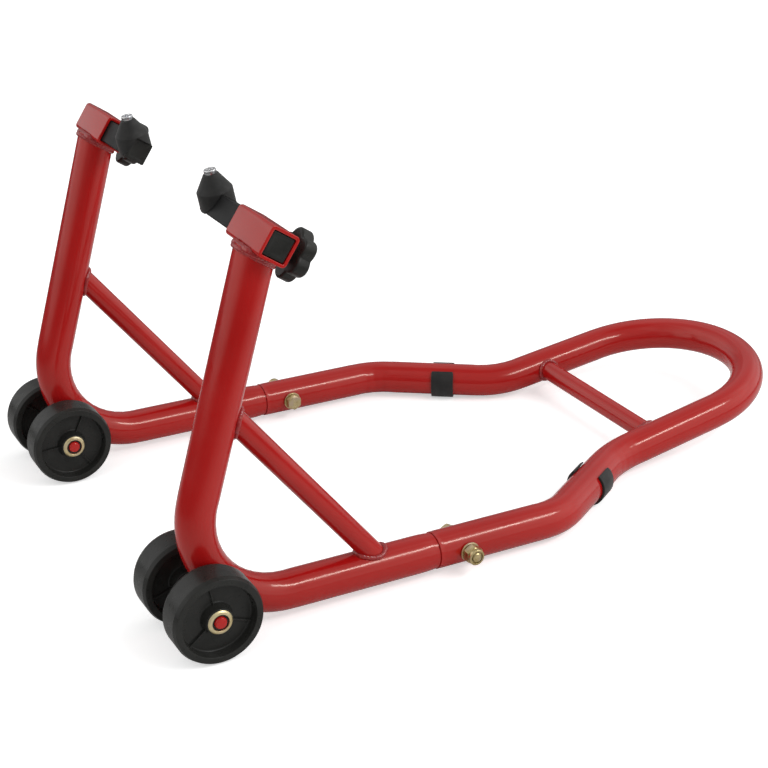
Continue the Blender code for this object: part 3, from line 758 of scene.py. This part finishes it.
def brace(name, side):
    path = side_tube_path(side, SEAM_X)
    ends = [
        upright_point(BRACE_TOP_Z, side),
        Vector((AXLE_X + BRACE_FOOT_X, side * SIDE_Y, RAIL_Z)),
    ]
    coped_bar("brace_" + name, "brace_tube_" + name, ends, BRACE_RADIUS, path)


def cross_bar():
    along = (CROSS_BAR_X - NECK_X) / math.cos(HANDLE_RISE)
    across = NECK_Y - along * math.tan(LOOP_TAPER)
    ends = [in_handle_plane(along, across), in_handle_plane(along, -across)]
    coped_bar("handle_bar", "cross_bar", ends, CROSS_BAR_RADIUS, handle_path())


def socket(name, side):
    """The square socket, the weld that holds it on the upright and the nut welded over its clamp hole."""
    place = socket_place(side)
    shell = square_tube(SOCKET_SIDE, SOCKET_WALL, SOCKET_LENGTH, SOCKET_ROUND, 0.0014, 0.0007)
    add_piece("socket_shell_" + name, shell, place, RED, nodes=["socket_" + name])
    inverse = place.inverted()
    path = spaced(side_tube_path(side, SEAM_X), RING_SPACING)
    upward = (path[0] - path[1]).normalized()
    below = place @ Vector((0, 0, -SOCKET_SIDE / 2 - GAP))
    normal = place.to_3x3() @ Vector((0, 0, 1))
    frames = rail_frames(path[:3])
    ring = ring_around(path[1], frames[1][1], frames[1][2], TUBE_RADIUS, TUBE_SIDES)
    outline = []
    lower = []
    for corner in cut_by_plane(ring, upward, below, normal):
        local = inverse @ corner
        reach = SOCKET_SIDE / 2 + 0.0004
        clamped = min(max(local.x, -reach), reach)
        outline.append(place @ Vector((clamped, local.y, local.z - 0.0006)))
        lower.append(corner - upward * SECOND_PASS)
    bead("weld_socket_" + name, outline, SOCKET_BEAD, side + 4)
    bead("weld_socket_lower_" + name, lower, SECOND_BEAD, side + 7)
    low = SOCKET_SIDE / 2 + GAP
    high = low + CLAMP_NUT_HEIGHT
    corner = CLAMP_NUT_FLATS / math.sqrt(3)
    bore = CLAMP_RADIUS + 0.0006
    chamfer = (corner - CLAMP_NUT_FLATS / 2) * math.tan(math.radians(30))
    profile = [(bore, low), (corner, low), (corner, high - chamfer)]
    profile += chamfer_steps(corner, CLAMP_NUT_FLATS / 2 - 0.0002, high - chamfer, high)
    profile += [(bore, high)]
    nut = turned(profile, TURNED_SIDES, wrap=True, section=hexagonal(CLAMP_NUT_FLATS, bore))
    add_piece("clamp_nut_body_" + name, nut, clamp_place(side), RED, nodes=["clamp_nut_" + name], sharp=25)


def chamfer_steps(outer, inner, low, high, steps=6):
    """Points of a cone between two radii, close enough to cut a hexagon's corners evenly."""
    points = []
    for step in range(1, steps + 1):
        share = step / steps
        points.append((outer + (inner - outer) * share, low + (high - low) * share))
    return points


# ---- Wheels ----

RIB_THICKNESS = 0.0013
RIB_DEPTH = 0.0024
RIB_TURNS = {("outer", "left"): 20, ("inner", "left"): 65, ("outer", "right"): 100, ("inner", "right"): 80}
RETAINER_HOLE = 0.0080
RIM_CREST_RADIUS = 0.0422


def wheel_shape():
    """One wheel: rounded tread edges, a lip, a dished web on each face and a hub boss round the bore."""
    half = WHEEL_WIDTH / 2
    floor = half - RECESS_DEPTH
    bore = AXLE_RADIUS + GAP
    crown = 0.0002
    upper = [
        (bore, half, 0.0), (HUB_TIP_RADIUS, half, 0.0012), (HUB_BASE_RADIUS, floor, 0.0018),
        (WEB_RADIUS, floor, 0.0018), (RIM_LIP_RADIUS, half, 0.0006), (RIM_CREST_RADIUS, half, 0.0006),
        (WHEEL_RADIUS, half - RIM_ROUND, 0.0022), (WHEEL_RADIUS + crown, 0.0, 0.0),
    ]
    lower = [(radius, -height, rounding) for radius, height, rounding in reversed(upper[:-1])]
    profile = rounded(upper + lower, steps=EDGE_STEPS + 1)
    return turned([(min(r, WHEEL_RADIUS), z) for r, z in profile], WHEEL_SIDES, wrap=True)


def add_ribs(shape, turn, sign):
    """Three thin ribs from the hub to the rim, in the dished web of one face."""
    half = WHEEL_WIDTH / 2
    floor = half - RECESS_DEPTH
    top = floor + RIB_DEPTH
    width = RIB_THICKNESS / 2
    for index in range(3):
        spin = Matrix.Rotation(turn + math.tau * index / 3, 3, "Z")
        outline = rounded([
            (-width * 1.2, floor - 0.001, 0.0), (-width, top, width * 0.6), (width, top, width * 0.6),
            (width * 1.2, floor - 0.001, 0.0),
        ])
        rings = []
        for radius in (HUB_TIP_RADIUS - 0.0005, 0.02, 0.03, WEB_RADIUS + 0.0005):
            rings.append([spin @ Vector((radius, y, sign * z)) for y, z in outline])
        loft(shape, rings)


def wheels(name, side):
    half = WHEEL_WIDTH / 2
    for where, outward in (("outer", side), ("inner", -side)):
        middle = Matrix.Translation((AXLE_X, side * WHEEL_MIDDLES[where], WHEEL_RADIUS))
        face = middle @ Matrix.Rotation(-outward * math.pi / 2, 4, "X")
        shape = wheel_shape()
        turn = math.radians(RIB_TURNS[where, name])
        for sign in (1, -1):
            add_ribs(shape, turn * sign, sign)
        node = f"wheel_{where}_{name}"
        add_piece("moulded_" + node, shape, face, BLACK_PLASTIC, node, [node], sharp=50)
        low = half + GAP
        profile = rounded([
            (RETAINER_HOLE, low + 0.0006, 0.0), (RETAINER_HOLE + 0.0004, low + 0.0016, 0.0004),
            (RETAINER_RADIUS - 0.0012, low + 0.0013, 0.0008), (RETAINER_RADIUS, low, 0.0),
            (RETAINER_HOLE, low, 0.0),
        ], closed=True)
        ring = turned(profile, wrap=True)
        add_piece(f"ring_{where}_{name}", ring, face, PALE_ZINC, nodes=[f"retainer_{where}_{name}"])
    reach = half + AXLE_OVERHANG
    low = WHEEL_MIDDLES["inner"] - reach
    high = WHEEL_MIDDLES["outer"] + reach
    dome = 0.0022
    profile = [(0.0006, low)] + rounded([
        (0.0006, low, 0.0), (AXLE_RADIUS - 0.0010, low + 0.0003, 0.0012), (AXLE_RADIUS, low + dome, 0.0010),
        (AXLE_RADIUS, high - dome, 0.0010), (AXLE_RADIUS - 0.0010, high - 0.0003, 0.0012),
        (0.0006, high, 0.0),
    ])[1:]
    rod = turned(profile, BAR_SIDES)
    place = across_place(0, WHEEL_RADIUS, side)
    add_piece("wheel_axle_" + name, rod, place, AXLE_RED_PAINTED_LIGHTER, nodes=["axle_" + name])
    axle_welds(name, side)


def axle_welds(name, side):
    """Short beads above and below the axle where it crosses the bend."""
    path = side_tube_path(side, SEAM_X)
    centre = Vector((AXLE_X, side * SIDE_Y, WHEEL_RADIUS))
    nearest = min(path, key=lambda point: (point - centre).length)
    towards = (nearest - centre).normalized()
    along = Vector((-towards.z, 0, towards.x))
    for index, sign in enumerate((1, -1)):
        points = []
        for step in range(9):
            y = 0.011 * (step - 4) / 4
            gap_depth = TUBE_RADIUS - math.sqrt(TUBE_RADIUS ** 2 - y ** 2)
            base = Vector((AXLE_X, side * SIDE_Y + y, WHEEL_RADIUS))
            forwards = towards * (AXLE_RADIUS * 0.75 + gap_depth * 0.5)
            points.append(base + forwards + along * (sign * AXLE_RADIUS * 0.85))
        bead(f"weld_axle_{name}_{index + 1}", points, AXLE_BEAD, index + 9 + side, closed=False)


# ---- Support arms, bobbins and clamps ----


def support_arm(name, side):
    length = ARM_OUTER_Y - ARM_INNER_Y
    place = arm_place(side, (ARM_OUTER_Y + ARM_INNER_Y) / 2)
    shape = square_tube(ARM_SIDE, ARM_WALL, length, ARM_ROUND, 0.0008, 0.0004)
    body = "arm_" + name
    add_piece("sliding_arm_" + name, shape, place, BLACK_STEEL, body, ["support_arm_" + name])
    shank = ARM_SIDE - 2 * ARM_WALL - 2 * GAP
    for where, end, outward in (("outer", ARM_OUTER_Y, side), ("inner", ARM_INNER_Y, -side)):
        start = GAP
        rings = [
            square_ring(shank - 0.0006, 0.0004, outward * (start - PLUG_SHANK)),
            square_ring(shank, 0.0007, outward * (start - PLUG_SHANK + 0.0004)),
            square_ring(shank, 0.0007, outward * start),
            square_ring(ARM_SIDE, ARM_ROUND, outward * start),
        ]
        edge = 0.0008
        for angle in QUARTER_TURN:
            inset = edge * (1 - math.cos(angle))
            y = start + PLUG_HEAD - edge + edge * math.sin(angle)
            rings.append(square_ring(ARM_SIDE - 2 * inset, ARM_ROUND - inset, outward * y))
        rings.append(square_ring(ARM_SIDE - 0.006, 0.0010, outward * (start + PLUG_HEAD)))
        rings.append(square_ring(ARM_SIDE - 0.008, 0.0010, outward * (start + PLUG_HEAD - 0.0004)))
        plug = loft(bmesh.new(), rings)
        node = f"arm_plug_{where}_{name}"
        add_piece("end_plug_" + where + "_" + name, plug, arm_place(side, end), BLACK_PLASTIC, body, [node])


def carved(shape, cutter):
    """The first shape with the second one's volume removed."""
    objects = []
    for label, source in (("carved", shape), ("carver", cutter)):
        bmesh.ops.recalc_face_normals(source, faces=source.faces)
        mesh = bpy.data.meshes.new(label)
        source.to_mesh(mesh)
        source.free()
        obj = bpy.data.objects.new(label, mesh)
        bpy.context.scene.collection.objects.link(obj)
        objects.append(obj)
    modifier = objects[0].modifiers.new("carve", "BOOLEAN")
    modifier.operation = "DIFFERENCE"
    modifier.solver = "EXACT"
    modifier.object = objects[1]
    bpy.context.view_layer.update()
    graph = bpy.context.evaluated_depsgraph_get()
    result = bpy.data.meshes.new_from_object(objects[0].evaluated_get(graph))
    made = bmesh.new()
    made.from_mesh(result)
    for obj in objects:
        mesh = obj.data
        bpy.data.objects.remove(obj)
        bpy.data.meshes.remove(mesh)
    bpy.data.meshes.remove(result)
    return made


NOTCH_REACH = 0.04


def bobbin(name, side):
    """The rubber bobbin, notched underneath for the arm's corner, and the socket screw through it."""
    place = bobbin_place(side)
    screw_bore = BOBBIN_SCREW_RADIUS + GAP
    profile = rounded([
        (screw_bore, BOBBIN_BOTTOM, 0.0), (BOBBIN_RADIUS, BOBBIN_BOTTOM, 0.0008),
        (BOBBIN_RADIUS, BOBBIN_SHOULDER, 0.0012), (BOBBIN_TOP_RADIUS, BOBBIN_TOP, 0.0008),
        (screw_bore, BOBBIN_TOP, 0.0),
    ])
    cone = turned(profile, TURNED_SIDES, wrap=True)
    notch_side = ARM_SIDE + 2 * GAP
    notch_rings = [square_ring(notch_side, ARM_ROUND, y) for y in (-NOTCH_REACH, NOTCH_REACH)]
    notch = loft(bmesh.new(), notch_rings)
    notch.transform(Matrix.Rotation(math.pi / 4, 4, "Y"))
    body = "arm_" + name
    add_piece("rubber_bobbin_" + name, carved(cone, notch), place, RUBBER, body, ["bobbin_" + name], sharp=35)
    base = BOBBIN_TOP + GAP
    top = base + BOBBIN_SCREW_HEAD
    key_floor = base + BOBBIN_KEY_FLOOR
    outside = rounded([
        (0.0008, BOBBIN_SCREW_END, 0.0), (BOBBIN_SCREW_RADIUS, BOBBIN_SCREW_END, 0.0005),
        (BOBBIN_SCREW_RADIUS, base, 0.0), (BOBBIN_SCREW_HEAD_RADIUS, base, 0.0003),
        (BOBBIN_SCREW_HEAD_RADIUS, top, 0.0009), (BOBBIN_SCREW_KEY + 0.0006, top, 0.0),
    ])
    recess = [(BOBBIN_SCREW_KEY, top - 0.0005), (BOBBIN_SCREW_KEY, key_floor), (0.0008, key_floor - 0.0006)]
    key_flats = BOBBIN_SCREW_KEY * math.sqrt(3)

    def keyed(angle, radius, height):
        inside = height > key_floor - 0.0001 and abs(radius - BOBBIN_SCREW_KEY) < 1e-6
        return hexagon_reach(angle, key_flats) if inside else radius

    screw = turned(outside + recess, TURNED_SIDES, section=keyed)
    add_piece("socket_screw_" + name, screw, place, BRIGHT_ZINC, body, ["bobbin_screw_" + name], sharp=30)


THREAD_PITCH = 0.0015
THREAD_LEAD = 0.0008
THREAD_SIDES = 36
RINGS_PER_THREAD = 8


def threaded(radius, depth, low, high, sides=THREAD_SIDES):
    """Rings of a threaded rod from low to high, with lead-in chamfers."""
    count = round((high - low) / THREAD_PITCH * RINGS_PER_THREAD)
    rings = []
    for step in range(count + 1):
        height = low + (high - low) * step / count
        ring = []
        limit = radius - max(0.0, THREAD_LEAD - min(height - low, high - height))
        for index in range(sides):
            angle = math.tau * index / sides
            phase = (height / THREAD_PITCH - index / sides) % 1.0
            reach = min(radius - depth * abs(2 * phase - 1), limit)
            ring.append((reach * math.cos(angle), reach * math.sin(angle), height))
        rings.append(ring)
    return rings


KNOB_SIDES = 120
KNOB_ROUND = 0.0030
KNOB_FLAT_SHARE = 0.72


def knob_reach(angle, turn, inset):
    """The star's outline: six round lobes with hollows between them."""
    wave = math.sqrt(math.cos((angle - turn) * KNOB_LOBES / 2) ** 2 + 0.015)
    wave = (wave - 0.1225) / (1.0075 - 0.1225)
    return KNOB_WAIST + (KNOB_RADIUS - KNOB_WAIST) * wave - inset


def knob(name, side):
    """A moulded star knob: a hub boss behind, a rounded star and a slightly dished cap in front."""
    turn = side * KNOB_TURN
    bore = CLAMP_RADIUS + GAP
    rings = []

    def plain(radius, height):
        rings.append([(radius * math.cos(a), radius * math.sin(a), height) for a in angles])

    def star(inset, height, scale=1.0):
        reaches = [knob_reach(a, turn, inset) * scale for a in angles]
        rings.append([(r * math.cos(a), r * math.sin(a), height) for r, a in zip(reaches, angles)])

    angles = [math.tau * i / KNOB_SIDES for i in range(KNOB_SIDES)]
    plain(bore, CLAMP_SCREW_END + GAP)
    plain(bore, KNOB_HUB_BACK)
    plain(KNOB_HUB_RADIUS - 0.0006, KNOB_HUB_BACK)
    plain(KNOB_HUB_RADIUS, KNOB_HUB_BACK + 0.0006)
    plain(KNOB_HUB_RADIUS, KNOB_BACK - 0.0005)
    plain(KNOB_HUB_RADIUS + 0.0008, KNOB_BACK + 0.0002)
    star(0.0, KNOB_BACK + 0.0002, KNOB_FLAT_SHARE)
    for angle in QUARTER_TURN:
        star(KNOB_ROUND * 0.8 * (1 - math.sin(angle)), KNOB_BACK + KNOB_ROUND * 0.8 * (1 - math.cos(angle)))
    for angle in QUARTER_TURN:
        star(KNOB_ROUND * (1 - math.cos(angle)), KNOB_FRONT - KNOB_ROUND * (1 - math.sin(angle)))
    star(0.0, KNOB_FRONT, KNOB_FLAT_SHARE)
    plain(0.0138, KNOB_FRONT - 0.0001)
    plain(0.0132, KNOB_FRONT - 0.0009)
    plain(0.0122, KNOB_FRONT - 0.0009)
    plain(0.0116, KNOB_FRONT - 0.0002)
    plain(0.0060, KNOB_FRONT)
    add_piece(
        "star_knob_" + name, loft(bmesh.new(), rings), clamp_place(side), BLACK_PLASTIC, "knob_" + name,
        ["knob_" + name], sharp=38,
    )
    rod = loft(bmesh.new(), threaded(CLAMP_RADIUS, 0.0007, ARM_SIDE / 2 + GAP, CLAMP_SCREW_END))
    add_piece(
        "clamp_rod_" + name, rod, clamp_place(side), YELLOW_ZINC, "clamp_screw_" + name,
        ["clamp_screw_" + name],
    )


# ---- Bolted joints and pads ----


def joint_fasteners(name, side):
    """Bolt, two washers and a lock nut through the joint of a side tube and the handle."""
    place = across_place(BOLT_X, RAIL_Z, side)
    inner_face = SIDE_Y - TUBE_RADIUS - GAP
    outer_face = SIDE_Y + TUBE_RADIUS + GAP
    bore = BOLT_RADIUS + 0.0006
    for where, low in {"inner": inner_face - WASHER_THICKNESS, "outer": outer_face}.items():
        high = low + WASHER_THICKNESS
        profile = rounded([
            (bore, low, 0.0), (WASHER_RADIUS, low, 0.0005), (WASHER_RADIUS, high, 0.0007), (bore, high, 0.0),
        ], closed=True)
        washer = turned(profile, wrap=True)
        node = f"joint_washer_{where}_{name}"
        add_piece(f"washer_{where}_{name}", washer, place, YELLOW_ZINC, nodes=[node])
    nut_low = outer_face + WASHER_THICKNESS + GAP
    nut_high = nut_low + NUT_HEIGHT
    hex_high = nut_low + NUT_HEX_HEIGHT
    head_high = inner_face - WASHER_THICKNESS - GAP
    head_low = head_high - BOLT_HEAD_HEIGHT
    corner = BOLT_HEAD_FLATS / math.sqrt(3)
    chamfer = (corner - BOLT_HEAD_FLATS / 2) * math.tan(math.radians(30)) + 0.0002
    profile = [(0.0020, head_low + 0.0002), (0.0060, head_low)]
    for step in range(7):
        profile.append((corner - (corner - 0.0072) * (1 - step / 6), head_low + chamfer * step / 6))
    profile += [(corner, head_high - 0.0003), (corner - 0.0004, head_high), (BOLT_RADIUS, head_high)]
    rings = turned_rings(profile, section=hexagonal(BOLT_HEAD_FLATS, BOLT_RADIUS))
    rings += threaded(BOLT_RADIUS, 0.0006, head_high + 0.0004, nut_high + BOLT_TAIL, TURNED_SIDES)
    bolt = loft(bmesh.new(), rings)
    add_piece("bolt_" + name, bolt, place, YELLOW_ZINC, nodes=["joint_bolt_" + name], sharp=30)
    corner = NUT_FLATS / math.sqrt(3)
    bore = BOLT_RADIUS + GAP
    collar = NUT_COLLAR_RADIUS
    profile = [(bore, nut_low), (corner - 0.0012, nut_low)]
    profile += chamfer_steps(corner - 0.0012, corner, nut_low, nut_low + 0.0007, 3)
    profile += [(corner, hex_high - 0.0011)]
    profile += chamfer_steps(corner, collar + 0.0003, hex_high - 0.0011, hex_high)
    profile += rounded([
        (collar, hex_high, 0.0), (collar, nut_high, 0.0010), (NUT_MOUTH_RADIUS, nut_high, 0.0003),
        (NUT_MOUTH_RADIUS - 0.0002, nut_high - NUT_MOUTH_DEPTH, 0.0), (bore, nut_high - NUT_MOUTH_DEPTH, 0.0),
    ])
    nut = turned(profile, wrap=True, section=hexagonal(NUT_FLATS, bore))
    add_piece("lock_nut_" + name, nut, place, YELLOW_ZINC, nodes=["joint_nut_" + name], sharp=30)


PAD_STEPS = 60


def foot_pad(name, side):
    """A rubber clip round the tube, open at the top, with rounded edges and a flat sole on the floor."""
    start = Vector((AXLE_X + SHOULDER_X, side * SIDE_Y, RAIL_Z))
    along = (neck_corner(side) - start).normalized()
    centre = STANCE @ (start + along * PAD_ALONG)
    up = Vector((0, 0, 1))
    sideways = up.cross(along)
    turn = Matrix((sideways, up, sideways.cross(up))).transposed().to_4x4()
    sole = centre.z
    inner = TUBE_RADIUS + GAP
    edge = 0.0007
    rings = []
    sweep = math.pi + 2 * PAD_LIP_ANGLE
    for step in range(PAD_STEPS + 1):
        share = step / PAD_STEPS
        angle = PAD_LIP_ANGLE - sweep * share
        end = min(share, 1 - share) * PAD_STEPS
        pinch = max(0.0, 1 - end / 2) * 0.0006
        near, far = inner + pinch, PAD_RADIUS - pinch
        half = PAD_LENGTH / 2 - pinch
        corners = [(near, -half, edge / 2), (far, -half, edge), (far, half, edge), (near, half, edge / 2)]
        ring = []
        for radius, shift in rounded(corners, closed=True, steps=3):
            ring.append((radius * math.cos(angle), max(radius * math.sin(angle), -sole), shift))
        rings.append(ring)
    place = STANCE.inverted() @ Matrix.Translation(centre) @ turn
    add_piece("pad_" + name, loft(bmesh.new(), rings), place, RUBBER, nodes=["foot_pad_" + name])


# ---- Stage ----

CAMERA_PLACE = Vector((-0.83681, -1.44351, 0.83706))
CAMERA_RIGHT = Vector((0.88153, -0.47206, -0.00769))
CAMERA_UP = Vector((0.19779, 0.35447, 0.91391))
CAMERA_AHEAD = Vector((0.42869, 0.80716, -0.40585))
CAMERA_LENS = 77.45
SOFT_SUNS = 5
SOFT_SUN_ANGLE = 60
SOFT_LIGHT = 1.1
FLOOR_LIFT = 0.5
FLOOR_PALE = (0.88, 0.88, 0.875)
FLOOR_RADIUS = 12.0
FLOOR_DROP = 0.0002
SKY_SEEN = 1.05


def camera():
    data = bpy.data.cameras.new("camera")
    data.lens = CAMERA_LENS
    data.sensor_width = 36.0
    data.clip_start = 0.05
    data.clip_end = 100.0
    view = bpy.data.objects.new("camera", data)
    turn = Matrix((CAMERA_RIGHT, CAMERA_UP, -CAMERA_AHEAD)).transposed().to_4x4()
    view.matrix_world = Matrix.Translation(CAMERA_PLACE) @ turn
    bpy.context.scene.collection.objects.link(view)
    bpy.context.scene.camera = view


def floor():
    """A plain pale floor. The camera sees it lighter than it is lit; reflections see it darken far away."""
    finish, tree, shader = new_finish("pale_floor", FLOOR_PALE, 0.9, **{"Specular IOR Level": 0.0})
    position = tree.nodes.new("ShaderNodeTexCoord")
    distance = tree.nodes.new("ShaderNodeVectorMath")
    distance.operation = "LENGTH"
    tree.links.new(position.outputs["Object"], distance.inputs[0])
    fade = remap(tree, distance.outputs["Value"], 0.55, 1.10, 0.0, 1.0)
    reflected = mixed_colour(tree, fade, (0.70, 0.70, 0.69), (0.10, 0.10, 0.10))
    path = tree.nodes.new("ShaderNodeLightPath")
    colour = mixed_colour(tree, path.outputs["Is Glossy Ray"], FLOOR_PALE, reflected)
    tree.links.new(colour, shader.inputs["Base Color"])
    lift = remap(tree, path.outputs["Is Camera Ray"], 0.0, 1.0, 0.0, FLOOR_LIFT)
    shader.inputs["Emission Color"].default_value = (1.0, 1.0, 1.0, 1.0)
    tree.links.new(lift, shader.inputs["Emission Strength"])
    shape = bmesh.new()
    bmesh.ops.create_circle(shape, cap_ends=True, segments=96, radius=FLOOR_RADIUS)
    mesh = bpy.data.meshes.new("floor")
    shape.to_mesh(mesh)
    shape.free()
    mesh.materials.append(finish)
    obj = bpy.data.objects.new("floor", mesh)
    obj.location.z = -FLOOR_DROP
    bpy.context.scene.collection.objects.link(obj)


def area_light(name, place, target, size, power):
    data = bpy.data.lights.new(name, "AREA")
    data.shape = "RECTANGLE"
    data.size, data.size_y = size
    data.energy = power
    lamp = bpy.data.objects.new(name, data)
    lamp.location = place
    lamp.rotation_euler = (Vector(target) - Vector(place)).to_track_quat("-Z", "Y").to_euler()
    bpy.context.scene.collection.objects.link(lamp)


def sun_light(name, towards, angle, strength):
    data = bpy.data.lights.new(name, "SUN")
    data.angle = math.radians(angle)
    data.energy = strength
    lamp = bpy.data.objects.new(name, data)
    lamp.rotation_euler = (-Vector(towards)).to_track_quat("-Z", "Y").to_euler()
    bpy.context.scene.collection.objects.link(lamp)


def surroundings():
    """A pale studio: bright walls on both sides of the stand, dimmer in front, behind and above."""
    world = bpy.data.worlds.new("studio")
    bpy.context.scene.world = world
    world.use_nodes = True
    tree = world.node_tree
    background = tree.nodes["Background"]
    background.inputs["Color"].default_value = (1.0, 1.0, 1.0, 1.0)
    coordinates = tree.nodes.new("ShaderNodeTexCoord")
    sideways = tree.nodes.new("ShaderNodeVectorMath")
    sideways.operation = "DOT_PRODUCT"
    sideways.inputs[1].default_value = Vector((CAMERA_RIGHT.x, CAMERA_RIGHT.y, 0)).normalized()
    tree.links.new(coordinates.outputs["Generated"], sideways.inputs[0])
    size = tree.nodes.new("ShaderNodeMath")
    size.operation = "ABSOLUTE"
    tree.links.new(sideways.outputs["Value"], size.inputs[0])
    wall = remap(tree, size.outputs["Value"], 0.40, 0.85, 0.30, 1.15)
    path = tree.nodes.new("ShaderNodeLightPath")
    seen = tree.nodes.new("ShaderNodeMix")
    tree.links.new(path.outputs["Is Camera Ray"], seen.inputs["Factor"])
    numbers = [item for item in seen.inputs if item.type == "VALUE" and item.name in ("A", "B")]
    tree.links.new(wall, numbers[0])
    numbers[1].default_value = SKY_SEEN
    tree.links.new(next(item for item in seen.outputs if item.type == "VALUE"), background.inputs["Strength"])


def stage():
    bpy.context.scene.view_settings.view_transform = "Standard"
    camera()
    floor()
    surroundings()
    area_light("front_strip", (0.95, -1.55, 1.85), (0.0, 0.0, 0.1), (1.6, 0.22), 20.0)
    for index in range(SOFT_SUNS):
        turn = math.tau * (index + 0.5) / SOFT_SUNS
        towards = (math.cos(turn) * 0.9, math.sin(turn) * 0.9, 1.0)
        sun_light(f"soft_sun_{index + 1}", towards, SOFT_SUN_ANGLE, SOFT_LIGHT / SOFT_SUNS)


# ---- The stand ----


def build():
    stage()
    handle()
    cross_bar()
    for name, side in SIDES.items():
        side_tube(name, side)
        brace(name, side)
        socket(name, side)
        wheels(name, side)
        support_arm(name, side)
        bobbin(name, side)
        knob(name, side)
        joint_fasteners(name, side)
        foot_pad(name, side)


build()
